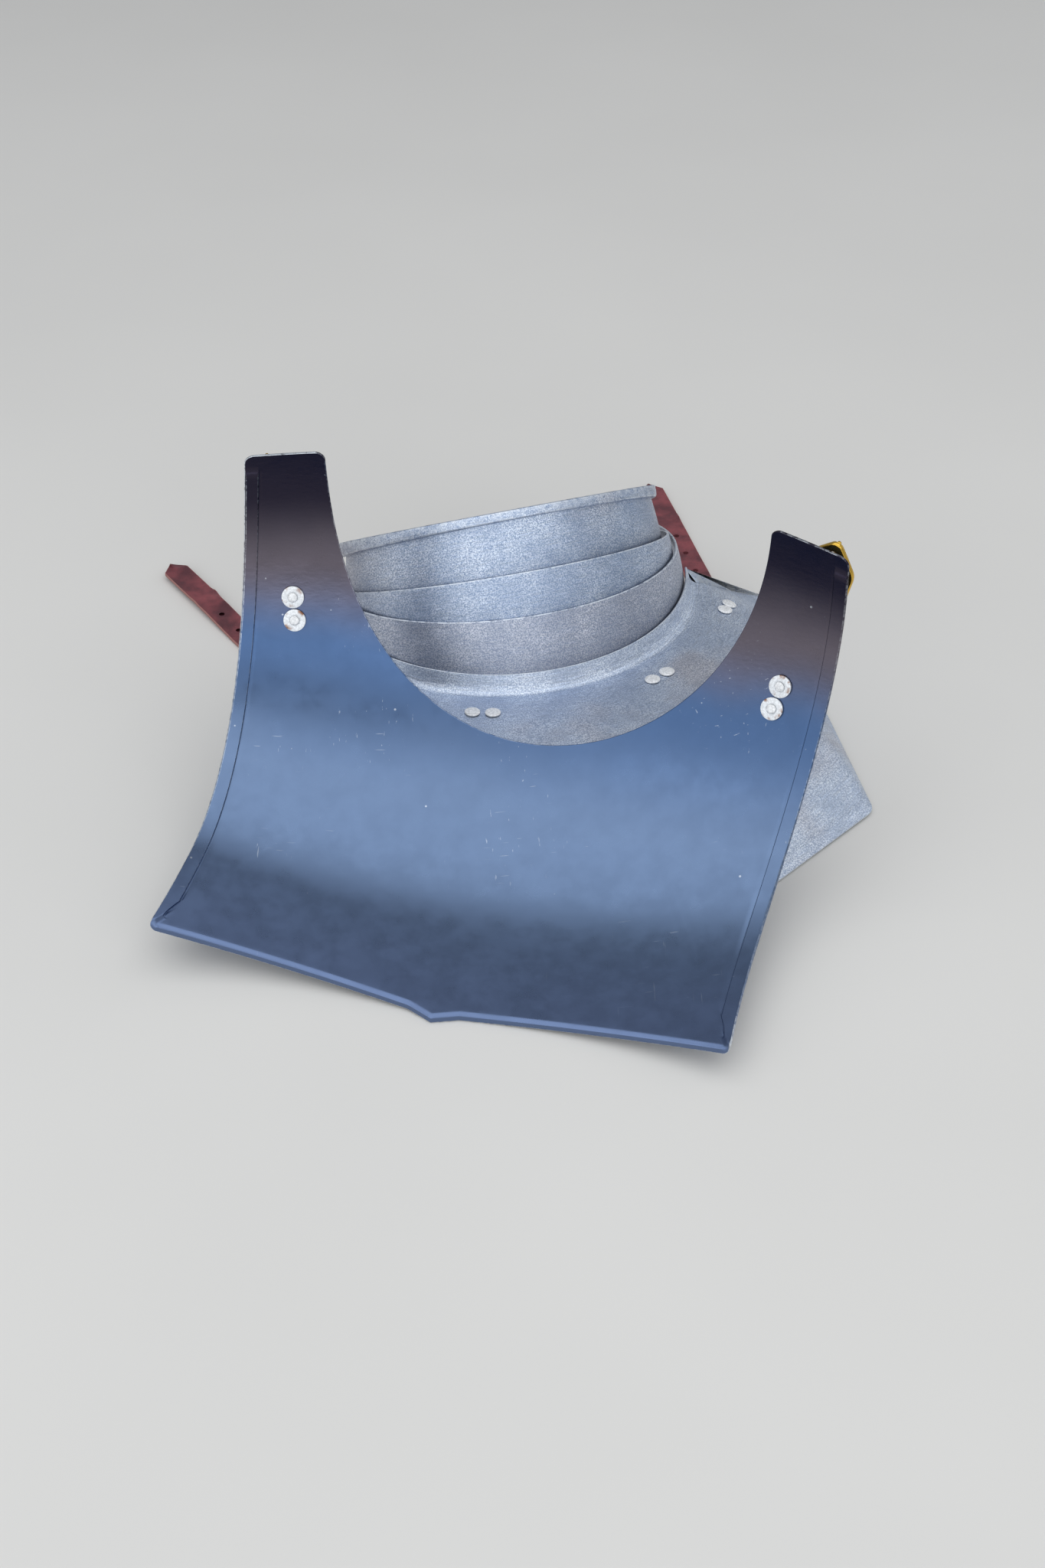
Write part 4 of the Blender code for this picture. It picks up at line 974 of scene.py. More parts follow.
def brushed_aged_steel():
    """Mild steel, blackened and rubbed back along its length: bright grains in dark pits, with a brown cast. Painted
    shade darkens each lame towards its foot, and the front plate carries a painted highlight.
    """
    tone = colours()
    made, tree, shader, place, lay, worn = start_finish("brushed_aged_steel")
    grains = ranged(tree, noise(tree, place, 1500, 3, 0.65), 0.36, 0.68)
    brushing = noise(tree, stretched(tree, lay, (90, 2600, 1)), 1.0, 3, 0.6)
    clouds = noise(tree, place, 38, 3, 0.55)
    cast = noise(tree, place, 17, 2, 0.5)
    lift = math(tree, "MULTIPLY", grains, ranged(tree, clouds, 0.3, 0.7, 0.5, 1.0))
    around, up = add(tree, "ShaderNodeSeparateXYZ", {0: lay}).outputs[:2]
    # Painted highlight: the front plate (lengths over 0.35) is blended 0.2 further towards the light steel colour
    # than the lames, for the brighter light on it.
    lift = math(tree, "ADD", lift, ranged(tree, up, 0.3, 0.35, 0.0, 0.2))
    base = blend(tree, lift, rgba(tone.aged_dark), rgba(tone.aged_light))
    streaks = ranged(tree, brushing, 0.3, 0.7, 0.8, 1.1)
    streaked = blend(tree, 1.0, base, streaks, "MULTIPLY")
    ends = ranged(tree, math(tree, "ABSOLUTE", around, 0.0), 0.05, 0.13, 0.0, 0.4)
    on_lame = ranged(tree, up, 0.3, 0.35, 1.0, 0.0)
    ends = math(tree, "MULTIPLY", ends, on_lame)
    from_lowest = math(tree, "ABSOLUTE", math(tree, "SUBTRACT", up, 0.22), 0.0)
    lowest = ranged(tree, from_lowest, 0.03, 0.05, 0.3, 0.0)
    patches = ranged(tree, cast, 0.54, 0.74, 0.0, 0.4)
    brown = math(tree, "MAXIMUM", math(tree, "MAXIMUM", ends, lowest), patches)
    browned = blend(tree, lift, darker(tone.aged_warm, 0.45), rgba(tone.aged_warm))
    warm = blend(tree, brown, streaked, browned)
    chipped = ranged(tree, noise(tree, place, 300, 3, 0.7), 0.3, 0.6, 0.25, 1.1)
    rubbed = ranged(tree, math(tree, "MULTIPLY", worn, chipped), 0.2, 1.0)
    # Painted shade: below zero the worn attribute darkens each lame towards its foot with the foot shade colour,
    # broken up by the clouds.
    shade = ranged(tree, worn, -1.0, 0.0, 1.0, 0.0)
    foot_shade = math(tree, "MULTIPLY", shade, ranged(tree, clouds, 0.2, 0.7, 0.8, 1.0))
    foot_shaded = blend(tree, math(tree, "MULTIPLY", foot_shade, 0.92), warm, rgba(tone.foot_shade))
    final = blend(tree, rubbed, foot_shaded, rgba(tone.worn))
    tree.links.new(final, shader.inputs["Base Color"])
    tree.links.new(ranged(tree, brushing, 0.25, 0.75, 0.42, 0.56), shader.inputs["Roughness"])
    shader.inputs["Metallic"].default_value = 1.0
    dents = bumped(tree, shader, noise(tree, place, 55, 2), 0.0005, 0.35)
    bumped(tree, shader, math(tree, "ADD", grains, brushing), 0.00004, 0.6, dents)
    return made


def oiled_blued_steel():
    """Cold-rolled sheet with a dark blue oxide, oiled: an even semi-gloss with fine scratches and bare edges. Over
    the oxide's blue lie painted reflections in bands by height: a darker foot, deeper blue and warm grey up each
    arm, near black at the arms' tops.
    """
    tone = colours()
    made, tree, shader, place, lay, worn = start_finish("oiled_blued_steel")
    parts = add(tree, "ShaderNodeSeparateXYZ", {0: lay})
    # Painted reflection: bands by height, tilted a little across the plate and wavering with noise, darken the
    # oxide's blue towards the bottom and up each arm, to near black at the arms' tops.
    uneven = math(tree, "MULTIPLY", math(tree, "SUBTRACT", noise(tree, place, 16, 2), 0.5), 0.02)
    lean = math(tree, "MULTIPLY", parts.outputs[0], -0.02)
    height = math(tree, "ADD", math(tree, "ADD", parts.outputs[1], lean), uneven)
    foot = ranged(tree, height, -0.155, -0.075)
    low = blend(tree, foot, rgba(tone.blued_painted_bottom), rgba(tone.blued))
    deep = blend(tree, ranged(tree, height, -0.04, 0.03), low, rgba(tone.blued_painted_arm_foot))
    warm = blend(tree, ranged(tree, height, 0.03, 0.075), deep, rgba(tone.blued_painted_arm_middle))
    dark = blend(tree, ranged(tree, height, 0.07, 0.115), warm, rgba(tone.blued_painted_arm_top))
    mottling = ranged(tree, noise(tree, place, 60, 4, 0.6), 0.3, 0.7, 0.98, 1.02)
    cloudy = blend(tree, 1.0, dark, mottling, "MULTIPLY")
    fine = noise(tree, stretched(tree, place, (900, 30, 400), (0, 0, radians(24))), 1.0, 2)
    cross = noise(tree, stretched(tree, place, (40, 1100, 500), (0, 0, radians(-12))), 1.0, 2)
    patches = ranged(tree, noise(tree, place, 30, 2), 0.53, 0.66)
    scratches = math(tree, "MULTIPLY", ranged(tree, math(tree, "MAXIMUM", fine, cross), 0.7, 0.76), patches)
    cells = add(tree, "ShaderNodeTexVoronoi", {"Vector": place, "Scale": 130.0, "Randomness": 1.0})
    lone = ranged(tree, add(tree, "ShaderNodeSeparateXYZ", {0: cells.outputs["Color"]}).outputs[0], 0.93, 0.95)
    specks = math(tree, "MULTIPLY", ranged(tree, cells.outputs["Distance"], 0.09, 0.05), lone)
    marks = math(tree, "MAXIMUM", math(tree, "MULTIPLY", scratches, 0.3), math(tree, "MULTIPLY", specks, 0.5))
    chipped = ranged(tree, noise(tree, place, 420, 3, 0.7), 0.3, 0.6, 0.55, 1.0)
    rubbed = ranged(tree, math(tree, "MULTIPLY", worn, chipped), 0.3, 0.9)
    final = blend(tree, math(tree, "MAXIMUM", marks, rubbed), cloudy, rgba(tone.worn))
    tree.links.new(final, shader.inputs["Base Color"])
    gloss = ranged(tree, noise(tree, place, 90, 4, 0.6), 0.3, 0.7, 0.27, 0.37)
    tree.links.new(gloss, shader.inputs["Roughness"])
    shader.inputs["Metallic"].default_value = 1.0
    peel = noise(tree, stretched(tree, place, (260, 420, 520)), 1.0, 2)
    hammered = math(tree, "MULTIPLY", peel, ranged(tree, height, 0.0, 0.06))
    waves = bumped(tree, shader, noise(tree, place, 14, 1), 0.0012, 0.25)
    relief = math(tree, "ADD", hammered, math(tree, "MULTIPLY", scratches, 0.2))
    bumped(tree, shader, relief, 0.00015, 0.5, waves)
    return made


def dull_nickel_steel():
    """Nickel-plated steel rivets, dulled: a pale satin dome with a grey rim and hammer marks."""
    tone = colours()
    made, tree, shader, place, lay, worn = start_finish("dull_nickel_steel")
    marks = noise(tree, place, 900, 3, 0.6)
    base = blend(tree, ranged(tree, marks, 0.35, 0.7), darker(tone.rivet, 0.72), rgba(tone.rivet))
    rimmed = blend(tree, math(tree, "MULTIPLY", worn, 0.4), base, darker(tone.rivet, 0.45))
    tree.links.new(rimmed, shader.inputs["Base Color"])
    tree.links.new(ranged(tree, marks, 0.3, 0.7, 0.4, 0.58), shader.inputs["Roughness"])
    shader.inputs["Metallic"].default_value = 0.3
    bumped(tree, shader, noise(tree, place, 480, 2), 0.00012, 0.6)
    return made


def plated_zinc():
    """Zinc-plated washers: pale, almost matt, with a crystal mottle and a little rust where the rim is cut."""
    tone = colours()
    made, tree, shader, place, lay, worn = start_finish("plated_zinc")
    mottle = add(tree, "ShaderNodeTexVoronoi", {"Vector": place, "Scale": 1100.0}).outputs["Distance"]
    base = blend(tree, ranged(tree, mottle, 0.1, 0.8), rgba(tone.zinc), darker(tone.zinc, 0.82))
    bloom = math(tree, "MULTIPLY", worn, ranged(tree, noise(tree, place, 260, 3), 0.5, 0.66))
    tree.links.new(blend(tree, bloom, base, rgba(tone.rust)), shader.inputs["Base Color"])
    tree.links.new(ranged(tree, mottle, 0.1, 0.8, 0.42, 0.56), shader.inputs["Roughness"])
    shader.inputs["Metallic"].default_value = 0.3
    bumped(tree, shader, noise(tree, place, 700, 3), 0.00008, 0.6)
    return made


def cast_brass():
    """Cast yellow brass, polished on its rim only: a green and brown film lies on its faces."""
    tone = colours()
    made, tree, shader, place, lay, worn = start_finish("cast_brass")
    film = ranged(tree, noise(tree, place, 380, 4, 0.65), 0.3, 0.62, 0.65, 1.0)
    kept = math(tree, "MULTIPLY", film, ranged(tree, worn, 0.1, 0.7, 1.0, 0.0))
    tree.links.new(blend(tree, kept, rgba(tone.brass), rgba(tone.tarnish)), shader.inputs["Base Color"])
    tree.links.new(ranged(tree, kept, 0.0, 1.0, 0.22, 0.5), shader.inputs["Roughness"])
    shader.inputs["Metallic"].default_value = 1.0
    bumped(tree, shader, noise(tree, place, 900, 3), 0.00006, 0.7)
    return made


def strap_leather():
    """Vegetable-tanned cowhide, dyed dark red-brown and waxed: fine pores, a low shine, pale cut edges."""
    tone = colours()
    made, tree, shader, place, lay, worn = start_finish("strap_leather")
    cells = {"Vector": place, "Scale": 1400.0}
    pores = add(tree, "ShaderNodeTexVoronoi", cells, feature="DISTANCE_TO_EDGE").outputs[0]
    creases = ranged(tree, pores, 0.0, 0.12)
    handled = noise(tree, place, 70, 4, 0.6)
    base = blend(tree, ranged(tree, handled, 0.3, 0.7), rgba(tone.leather_dark), rgba(tone.leather))
    grooves = math(tree, "MULTIPLY", math(tree, "SUBTRACT", 1.0, creases), 0.45)
    grainy = blend(tree, grooves, base, rgba(tone.leather_dark))
    fibres = ranged(tree, noise(tree, place, 2200, 3, 0.7), 0.3, 0.7, 0.55, 1.1)
    cut = ranged(tree, math(tree, "MULTIPLY", worn, fibres), 0.25, 0.7)
    tree.links.new(blend(tree, cut, grainy, rgba(tone.leather_cut)), shader.inputs["Base Color"])
    waxing = math(tree, "ADD", handled, math(tree, "MULTIPLY", cut, 0.5))
    tree.links.new(ranged(tree, waxing, 0.3, 1.1, 0.36, 0.75), shader.inputs["Roughness"])
    shader.inputs["IOR"].default_value = 1.5
    soft = bumped(tree, shader, handled, 0.0006, 0.4)
    bumped(tree, shader, creases, 0.00008, 0.7, soft)
    return made


def studio_floor():
    """Plain matt studio board."""
    made, tree, shader, place, lay, worn = start_finish("studio_floor")
    faint = ranged(tree, noise(tree, place, 3, 3), 0.3, 0.7, 0.97, 1.0)
    tree.links.new(blend(tree, 1.0, rgba(colours().floor), faint, "MULTIPLY"), shader.inputs["Base Color"])
    shader.inputs["Roughness"].default_value = 0.9
    return made


FINISHES = {made.__name__: made for made in (
    brushed_aged_steel, oiled_blued_steel, dull_nickel_steel, plated_zinc, cast_brass, strap_leather, studio_floor)}


def finish(name):
    return bpy.data.materials.get(name) or FINISHES[name]()


# Pieces


class GORGET_OT_front_plate(bpy.types.Operator):
    """Front plate with its upright neck flange and bevelled border"""

    bl_idname = "gorget.front_plate"
    bl_label = "Front plate"

    def execute(self, context):
        face = plate_face(collar_rings())
        grid = worn_ends(placed(wall(face, behind(face, sizes().sheet)), front_place()))
        plate = grow("front_plate_sheet", grid, finish("brushed_aged_steel"), soften=0.0003)
        settle(plate, "front_plate")
        return {"FINISHED"}


class GORGET_OT_neck_lames(bpy.types.Operator):
    """Three half-round lames that nest in the flange, the top one with its rolled rim"""

    bl_idname = "gorget.neck_lames"
    bl_label = "Neck lames"

    def execute(self, context):
        rings, place = collar_rings(), front_place()
        for name, lay in (("top", 0.0), ("middle", 0.1), ("bottom", 0.2)):
            top = rings["rim_crease" if name == "top" else f"{name}_top"]
            face, back = lame_face(top, rings[f"{name}_foot"], lay, rings["rim"] if name == "top" else None)
            grid = worn_ends(placed(wall(face, back, (None, 0.9), (None, 0.0)), place))
            lame = grow(f"neck_lame_{name}_sheet", grid, finish("brushed_aged_steel"), soften=0.0003)
            settle(lame, f"neck_lame_{name}")
        return {"FINISHED"}


class GORGET_OT_lame_leathers(bpy.types.Operator):
    """Two hidden leathers that the lames hang on"""

    bl_idname = "gorget.lame_leathers"
    bl_label = "Lame leathers"

    def execute(self, context):
        rings, place = collar_rings(), front_place()
        leather = sizes().leather
        for side, name in ((-1, "left"), (1, "right")):
            angle = side * LAME_RIVET_ANGLE
            spots, uppers = zip(*leather_path(rings, angle))
            path = smooth_path(spots, uppers, 90)
            base = rings["flange_base"]
            round_neck = on_ring(base, angle + 0.01) - on_ring(base, angle - 0.01)
            rows = []
            for spot, normal, heading in path:
                across = unit(round_neck - normal * (round_neck @ normal))
                columns = []
                for share in np.linspace(-1, 1, 11):
                    offset = share * RIVET_PITCH
                    middle = spot + across * offset - normal * offset**2 / (2 * NECK_HALF_DEPTH)
                    columns.append((middle, normal, offset))
                rows.append(columns)
            run = np.linspace(0, 0.12, len(rows))
            face, back = [
                np.array([[point(middle + normal * leather / 2 * way, 0, along, offset)
                           for middle, normal, offset in columns]
                          for columns, along in zip(rows, run)]).transpose(1, 0, 2) for way in (1, -1)]
            grid = worn_ends(placed(wall(face, back), place))
            piece = grow(f"lame_leather_{name}", grid, finish("strap_leather"), soften=0.0003)
            settle(piece, f"leather_lame_{name}")
        return {"FINISHED"}


class GORGET_OT_front_rivets(bpy.types.Operator):
    """Domed rivets of the front plate, and the flush rivets that hold the lames to their leathers"""

    bl_idname = "gorget.front_rivets"
    bl_label = "Front rivets"

    def execute(self, context):
        rings, place, size = collar_rings(), front_place(), sizes()
        base = rings["flange_base"]
        turn = np.array(place.to_3x3())
        pairs = {"lame_left": -LAME_RIVET_ANGLE, "lame_right": LAME_RIVET_ANGLE,
                 "strap_left": -STRAP_RIVET_ANGLE, "strap_right": STRAP_RIVET_ANGLE}
        for seed, (pair, angle) in enumerate(pairs.items()):
            ring_run = run_per_turn(base, angle)
            bow = (RIVET_PITCH / 2 + size.rivet_clench) ** 2 / 2 / NECK_HALF_DEPTH
            if "strap" in pair:
                bow = size.strap_width**2 / 8 / NECK_HALF_DEPTH + FIT
            for number, step in enumerate((-0.5, 0.5), 1):
                angle_here = angle + step * RIVET_PITCH / ring_run
                spot = row_share(base, angle_here, RIVET_ROW)
                centre = place @ Vector(plate_point(base, angle_here, spot))
                axis = turn @ plate_normal(base, angle_here, spot)
                grip = size.sheet + FIT + bow + size.leather
                self.make(f"rivet_{pair}_{number}", centre, axis, grip, True, 10 * seed + number)
        for side, name in ((-1, "left"), (1, "right")):
            angle = side * LAME_RIVET_ANGLE
            outward = unit(np.array((sin(angle) / NECK_HALF_WIDTH, -cos(angle) / NECK_HALF_DEPTH, 0)))
            grip = size.sheet + FIT + size.leather
            for piece, top in (("top", "rim_crease"), ("middle", "middle_top"), ("bottom", "bottom_top")):
                spot = between(on_ring(rings[top], angle), on_ring(rings[f"{piece}_foot"], angle), 0.86)
                self.make(f"rivet_{piece}_{name}", place @ Vector(spot), turn @ outward, grip, False, 7)
        return {"FINISHED"}

    def make(self, node, centre, axis, grip, proud, seed):
        size = sizes()
        low = -grip - FIT
        profile = [(size.rivet_clench * share, low - height, 0.2) for share, height in (
            (0.2, 0.0009), (0.45, 0.00088), (0.7, 0.00078), (0.88, 0.0006), (0.98, 0.0004), (1, 0.0002), (0.97, 0))]
        profile.append((size.rivet_shank, low, 0))
        if proud:
            profile += [(size.rivet_shank, FIT, 0)] + dome(size.rivet_head, FIT, size.rivet_height)
        else:
            profile += [(size.rivet_shank, 0, 0), (size.rivet_shank * 0.6, 0.0001, 0)]
            profile.append((size.rivet_shank * 0.1, 0.0001, 0))
        piece = turned(f"{node}_steel", profile, centre, axis, finish("dull_nickel_steel"), 40, 0.012, seed)
        settle(piece, node)


class GORGET_OT_billet_straps(bpy.types.Operator):
    """Two billet straps with pointed tips and buckle holes, free on the floor"""

    bl_idname = "gorget.billet_straps"
    bl_label = "Billet straps"

    def execute(self, context):
        rings, place, size = collar_rings(), front_place(), sizes()
        for name, strap in STRAPS.items():
            spots, uppers, land, floor, left = strap_path(rings, place, *strap)
            path = smooth_path(spots, uppers, 190)
            total = sum(np.linalg.norm(after[0] - before[0]) for before, after in zip(path, path[1:]))
            runs = np.linspace(0, total, len(path))
            tip = size.strap_tip
            widths = [size.strap_width / 2 * min(1, max(0.04, (total - run) / tip)) for run in runs]
            face, back = strip(path, widths, size.leather, 13, 0.00012)
            self.relax(face, back, runs, total, strap[0])
            grid = worn_ends(wall(face, back), 0.8)
            piece = grow(f"billet_strap_{name}_leather", grid, finish("strap_leather"), soften=0.0002)
            for number in range(3):
                self.punch(piece, land + floor * (left - size.hole_from_tip - number * size.hole_pitch))
            settle(piece, f"billet_strap_{name}")
        return {"FINISHED"}

    def relax(self, face, back, runs, total, side):
        """The free end curls up at its edges and carries a soft cross crease, more on the left strap."""
        amount = 1.0 if side < 0 else 0.45
        for column, run in enumerate(runs):
            from_tip = total - run
            free = min(1, max(0, (0.085 - from_tip) / 0.03))
            crease = np.exp(-(((from_tip - 0.041) / 0.0035) ** 2))
            for grid in (face, back):
                for row in range(grid.shape[0]):
                    share = 2 * row / (grid.shape[0] - 1) - 1
                    curl = free * 0.0017 * share**2 + crease * 0.0009 * (1 + 0.5 * share)
                    grid[row, column, 2] += amount * (curl + free * 0.0006 * (1 - from_tip / 0.085))

    def punch(self, piece, spot):
        bpy.ops.object.select_all(action="DESELECT")
        bpy.ops.mesh.primitive_cylinder_add(vertices=28, radius=sizes().hole, depth=0.012, location=spot)
        bit = bpy.context.object
        select_only(piece)
        cut = piece.modifiers.new("hole", "BOOLEAN")
        cut.object = bit
        cut.solver = "EXACT"
        bpy.ops.object.modifier_apply(modifier=cut.name)
        bpy.data.objects.remove(bit)


class GORGET_OT_back_plate(bpy.types.Operator):
    """Back plate with its curled arms, folded hems and turned-out bottom"""

    bl_idname = "gorget.back_plate"
    bl_label = "Back plate"

    def execute(self, context):
        face, back, rounds = back_grids()
        grid = worn_ends(wall(face, back, (None, 0.5), (rounds, 0.85)))
        above = np.clip((grid[..., UP] + BACK_BELOW_NECK) / 0.03, 0, 1)
        right = np.clip(grid[..., ALONG] / 0.05, 0, 1) * above
        grid[..., WEAR_AND_SHADE] *= 1 - 0.45 * right
        grid = placed(grid, back_place())
        plate = grow("back_plate_sheet", grid, finish("oiled_blued_steel"), soften=0.0003)
        settle(plate, "back_plate")
        return {"FINISHED"}


class GORGET_OT_washers(bpy.types.Operator):
    """Two zinc washers and their hammered rivets on each arm"""

    bl_idname = "gorget.washers"
    bl_label = "Washers"

    def execute(self, context):
        place, size = back_place(), sizes()
        turn = np.array(place.to_3x3())
        bore = size.rivet_shank + FIT
        rim = size.washer
        hollow = rim**2 / CURL_RADIUS
        for side, name in ((1, "right"), (-1, "left")):
            for number, along in enumerate((0, 2 * (rim + FIT)), 1):
                axis = turn @ arm_axis(side, along)
                base = np.array(place @ Vector(arm_place(side, along, 0, -size.sheet)))
                low, high = FIT + hollow, FIT + hollow + size.washer_thickness
                section = ((bore, low), (rim - 0.0002, low), (rim, low + 0.0002), (rim, high - 0.0003),
                           (rim - 0.0001, high - 0.0001), (rim - 0.0004, high), (rim * 0.6, high - 0.00004),
                           (bore + 0.0005, high - 0.0001), (bore + 0.0001, high - 0.0003), (bore, high - 0.0005))
                twist = np.array(Vector((0, 0, 1)).rotation_difference(Vector(axis)).to_matrix())
                grid = np.zeros((len(section), 56, POINT_SIZE))
                for column in range(56):
                    angle = 2 * pi * column / 56
                    for row, (radius, height) in enumerate(section):
                        local = np.array((radius * cos(angle), radius * sin(angle), height))
                        worn = 1.0 if 2 <= row <= 5 else 0.0
                        grid[row, column] = point(base + twist @ local, worn, angle * 0.005, radius)
                washer = grow(f"washer_{name}_{number}_zinc", grid, finish("plated_zinc"), ring=True)
                settle(washer, f"washer_{name}_{number}")
                grip = size.sheet + 2 * FIT + 2 * size.leather
                clench = size.rivet_clench * 0.9
                top = high + FIT
                profile = [(size.rivet_head * share, -grip - drop, 0) for share, drop in
                           ((0.05, 0.0011), (0.4, 0.00105), (0.75, 0.00085), (0.95, 0.0006), (1, 0.0003), (0.98, 0))]
                profile += [(size.rivet_shank, -grip, 0), (size.rivet_shank, top, 0)]
                profile += [(clench * 0.96, top, 1), (clench, top + 0.0002, 0.8)]
                profile += [(clench * share, top + lift, 0) for share, lift in
                            ((0.94, 0.00045), (0.8, 0.00062), (0.55, 0.00072), (0.05, 0.00074))]
                rivet = turned(f"rivet_buckle_{name}_{number}_steel", profile, base, axis,
                               finish("dull_nickel_steel"), 40, 0.03, 20 + number + side)
                settle(rivet, f"rivet_buckle_{name}_{number}")
        return {"FINISHED"}


class GORGET_OT_buckle_chapes(bpy.types.Operator):
    """Folded leather behind each arm that holds the buckle's bar"""

    bl_idname = "gorget.buckle_chapes"
    bl_label = "Buckle chapes"

    def execute(self, context):
        place, size = back_place(), sizes()
        half = size.buckle_half_width - BUCKLE_ROD - 2 * FIT
        leather = size.leather
        ring = BUCKLE_ROD + FIT + leather / 2
        centre = FIT + BUCKLE_ROD + FIT + leather
        for name, (side, bar) in CHAPES.items():
            line = [(along, FIT + leather / 2) for along in np.linspace(-CHAPE_TAIL, bar - 0.004, 30)]
            line += [(bar + ring * cos(turn), centre + ring * sin(turn))
                     for turn in np.linspace(-pi / 2, pi / 2, 13)]
            line += [(along, FIT + leather * 1.52)
                     for along in np.linspace(bar - 0.0085, -CHAPE_TAIL + 0.0006, 30)]
            line = np.array(line)
            slope = unit(np.gradient(line, axis=0))
            face, back = [], []
            for (along, out), (run, rise) in zip(line, slope):
                for grid, way in ((face, 1), (back, -1)):
                    spot = (along + rise * way * leather * 0.485, out - run * way * leather * 0.485)
                    grid.append([point(arm_place(side, spot[0], share * half, spot[1]), 0, along, share * half)
                                 for share in np.linspace(-1, 1, 9)])
            face, back = [np.array(grid).transpose(1, 0, 2) for grid in (face, back)]
            grid = worn_ends(placed(wall(face, back), place))
            chape = grow(f"buckle_chape_{name}_leather", grid, finish("strap_leather"), soften=0.0002)
            settle(chape, f"buckle_chape_{name}")
        return {"FINISHED"}


class GORGET_OT_buckles(bpy.types.Operator):
    """House-shaped brass buckles with their tongues"""

    bl_idname = "gorget.buckles"
    bl_label = "Buckles"

    def outline(self, bar, inset, bar_inset):
        """The frame's outline, this far in from its outer edge, as rounded corners at equal counts."""
        outer = sizes().buckle_half_width + BUCKLE_ROD
        low, eaves = bar - BUCKLE_ROD + bar_inset, bar + BUCKLE_EAVES
        apex = bar + BUCKLE_LENGTH + BUCKLE_ROD - inset * 1.15
        half = outer - inset
        corners = np.array(((low, -half), (low, half), (eaves, half),
                            (apex, half * 0.14), (apex, -half * 0.14), (eaves, -half)))
        cuts = (0.0022, 0.0022, 0.003, 0.0016, 0.0016, 0.003)
        loop = []
        for number, (corner, cut) in enumerate(zip(corners, cuts)):
            following = (number + 1) % len(corners)
            before, after = corners[number - 1], corners[following]
            start, end = corner + unit(before - corner) * cut, corner + unit(after - corner) * cut
            loop += [rounded(start, corner, end, share) for share in np.linspace(0, 1, 7)]
            next_start = after + unit(corner - after) * cuts[following]
            loop += [between(end, next_start, share) for share in (0.25, 0.5, 0.75)]
        return loop

    def execute(self, context):
        place, size = back_place(), sizes()
        level = FIT + BUCKLE_ROD + FIT + size.leather
        thick = BUCKLE_ROD * 0.8
        for name, (side, bar) in CHAPES.items():
            loops = [self.outline(bar, size.buckle_band * share, 2 * BUCKLE_ROD * share)
                     for share in (0, 0.12, 0.3, 0.6, 0.85, 1)]
            worn = (1.0, 1.0, 0.0, 0.0, 0.3, 0.8)
            lifts = (0.6, 0.95, 0.8, 0.8, 0.9, 0.6)
            face, back = [
                np.array([[point(arm_place(side, along, across, level + way * thick * lift), mark, along, across)
                           for along, across in loop] for loop, mark, lift in zip(loops, worn, lifts)])
                for way in (-1, 1)]
            grid = placed(wall(face, back), place)
            buckle = grow(f"buckle_{name}_frame", grid, finish("cast_brass"), ring=True)
            settle(buckle, f"buckle_{name}")
            rise, apex = BUCKLE_ROD + TONGUE_ROD, bar + BUCKLE_LENGTH
            knots = ((bar - 0.0026, level + 0.0004), (bar - 0.0008, level + rise * 0.9),
                     (bar + 0.004, level + rise), (apex - 0.006, level + rise),
                     (apex + BUCKLE_ROD * 0.2, level + BUCKLE_ROD * 1.4))
            spots = [np.array(place @ Vector(arm_place(side, along, 0, out))) for along, out in knots]
            inward = unit(np.array(place.to_3x3()) @ -arm_axis(side, bar))
            path = smooth_path(spots, [inward] * len(spots), 40)
            grid = np.zeros((16, len(path), POINT_SIZE))
            for column, (spot, upper, heading) in enumerate(path):
                thin = TONGUE_ROD * (1 - 0.25 * (column / len(path)) ** 3)
                for row in range(16):
                    turn = 2 * pi * row / 16
                    aside = np.cross(heading, upper)
                    skin = spot + thin * (aside * cos(turn) + upper * sin(turn))
                    grid[row, column] = point(skin, 0.5, column * 0.001, turn)
            tongue = grow(f"buckle_{name}_tongue", grid, finish("cast_brass"), soften=0.0003)
            settle(tongue, None)
        return {"FINISHED"}


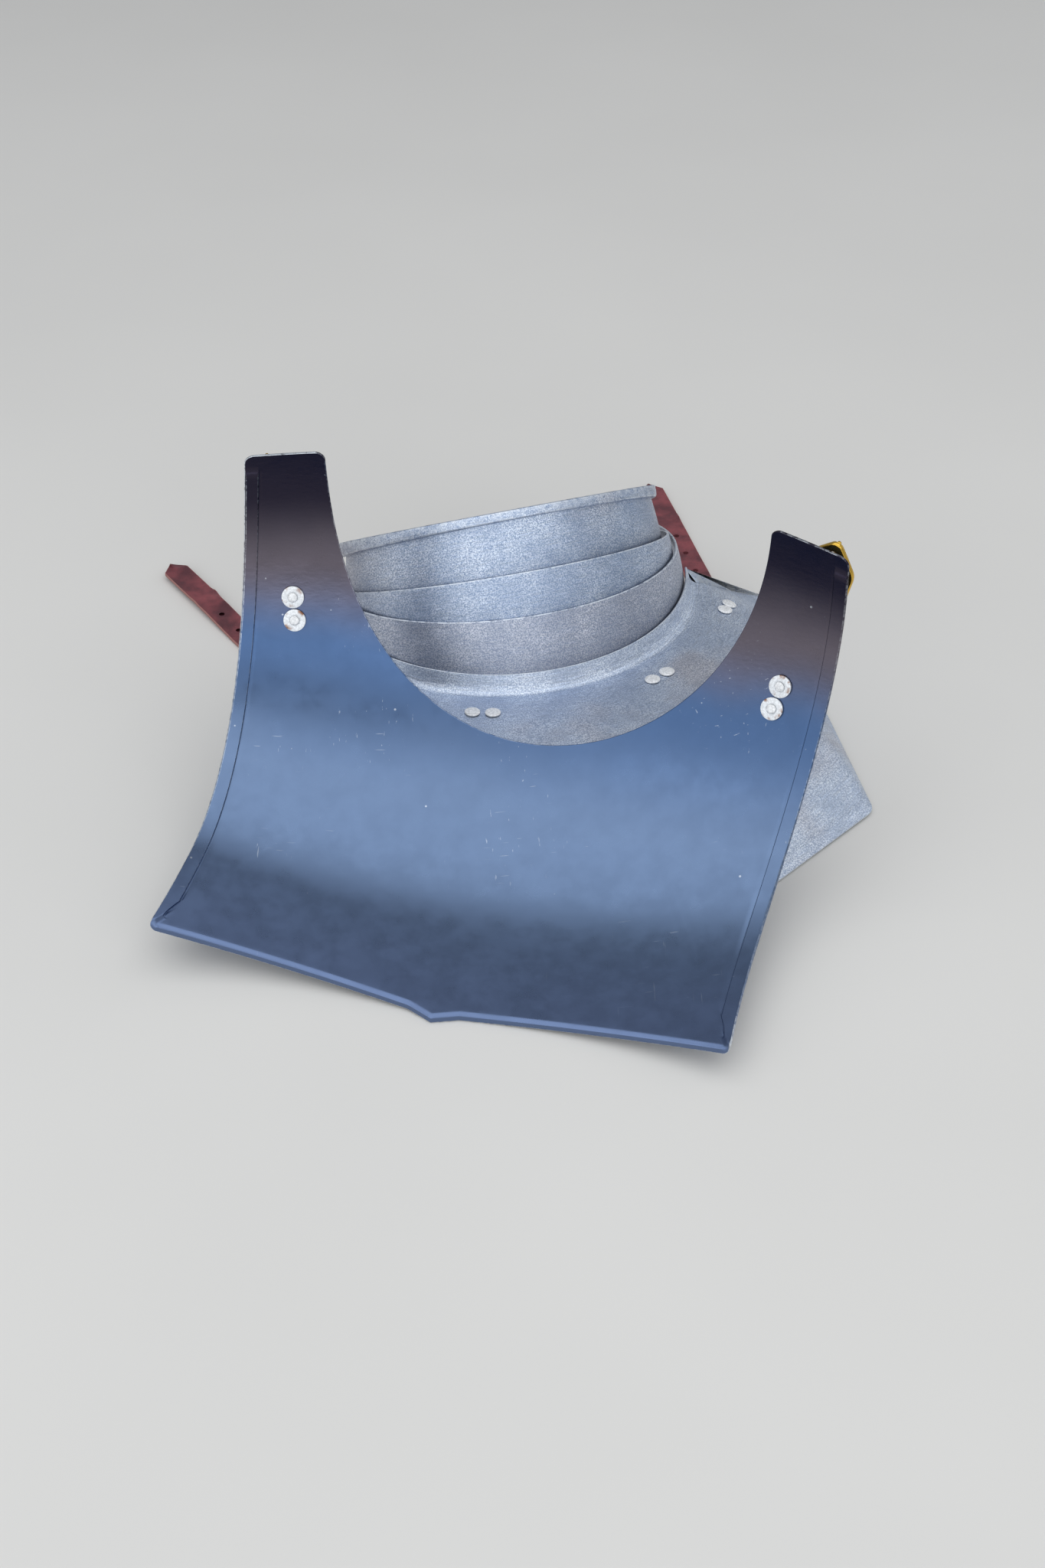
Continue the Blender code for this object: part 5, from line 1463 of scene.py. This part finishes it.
class GORGET_OT_stage(bpy.types.Operator):
    """Pale floor, soft light and the camera at the photograph's angle"""

    bl_idname = "gorget.stage"
    bl_label = "Stage"

    def execute(self, context):
        stage = context.scene.gorget_stage
        bpy.ops.object.select_all(action="DESELECT")
        bpy.ops.mesh.primitive_plane_add(size=14, location=(0, 0, 0))
        floor = context.object
        floor.name = "studio_floor"
        floor.data.materials.append(finish("studio_floor"))
        world = bpy.data.worlds.new("studio")
        world.use_nodes = True
        background = world.node_tree.nodes["Background"]
        background.inputs["Color"].default_value = (0.92, 0.95, 1.0, 1)
        background.inputs["Strength"].default_value = stage.room
        context.scene.world = world
        context.scene.view_settings.view_transform = "Standard"
        self.lamp("overhead", (-0.1, -0.4, 2.1), (-0.1, -0.4, 0.0), (3.2, 2.4), stage.overhead)
        self.lamp("front", (0.8, -2.3, 1.15), (0.0, 0.0, 0.1), (4.2, 1.7), stage.front)
        self.lamp("left", (-1.6, -1.5, 1.1), (0.1, -0.1, 0.05), (2.6, 2.0), stage.left)
        self.lamp("right", (1.9, 0.9, 0.95), (0.1, 0.05, 0.05), (2.2, 1.8), stage.right)
        self.camera(stage)
        return {"FINISHED"}

    def lamp(self, name, place, target, spread, power):
        bpy.ops.object.light_add(type="AREA", location=place)
        lamp = bpy.context.object
        lamp.name = f"{name}_light"
        lamp.rotation_euler = (Vector(target) - Vector(place)).to_track_quat("-Z", "Y").to_euler()
        lamp.data.shape = "RECTANGLE"
        lamp.data.size, lamp.data.size_y = spread
        lamp.data.energy = power
        lamp.data.color = (0.95, 0.975, 1.0)

    def camera(self, stage):
        neck = front_place().translation
        bpy.ops.object.camera_add(
            location=(neck.x + stage.camera_place[0], neck.y + stage.camera_place[1], stage.camera_place[2]),
            rotation=(pi / 2 - stage.pitch, 0, 0))
        camera = bpy.context.object
        camera.name = "photo_camera"
        camera.data.sensor_fit = "VERTICAL"
        camera.data.sensor_height = 36
        camera.data.lens = stage.lens
        bpy.context.scene.camera = camera


PIECES = (GORGET_OT_front_plate, GORGET_OT_neck_lames, GORGET_OT_lame_leathers, GORGET_OT_front_rivets,
          GORGET_OT_billet_straps, GORGET_OT_back_plate, GORGET_OT_washers, GORGET_OT_buckle_chapes,
          GORGET_OT_buckles, GORGET_OT_stage)


class GORGET_PT_panel(bpy.types.Panel):
    """Lists the pieces in the sidebar"""

    bl_idname = "GORGET_PT_panel"
    bl_label = "Steel gorget"
    bl_space_type = "VIEW_3D"
    bl_region_type = "UI"
    bl_category = "Gorget"

    def draw(self, context):
        for piece in PIECES:
            self.layout.operator(piece.bl_idname)


CLASSES = (GorgetSizes, GorgetColours, GorgetStage, *PIECES, GORGET_PT_panel)


def register():
    for made in CLASSES:
        bpy.utils.register_class(made)
    bpy.types.Scene.gorget_sizes = bpy.props.PointerProperty(type=GorgetSizes)
    bpy.types.Scene.gorget_colours = bpy.props.PointerProperty(type=GorgetColours)
    bpy.types.Scene.gorget_stage = bpy.props.PointerProperty(type=GorgetStage)


def unregister():
    del bpy.types.Scene.gorget_stage
    del bpy.types.Scene.gorget_colours
    del bpy.types.Scene.gorget_sizes
    for made in reversed(CLASSES):
        bpy.utils.unregister_class(made)


def main():
    register()
    for piece in PIECES:
        group, name = piece.bl_idname.split(".")
        getattr(getattr(bpy.ops, group), name)()


if __name__ == "__main__":
    main()
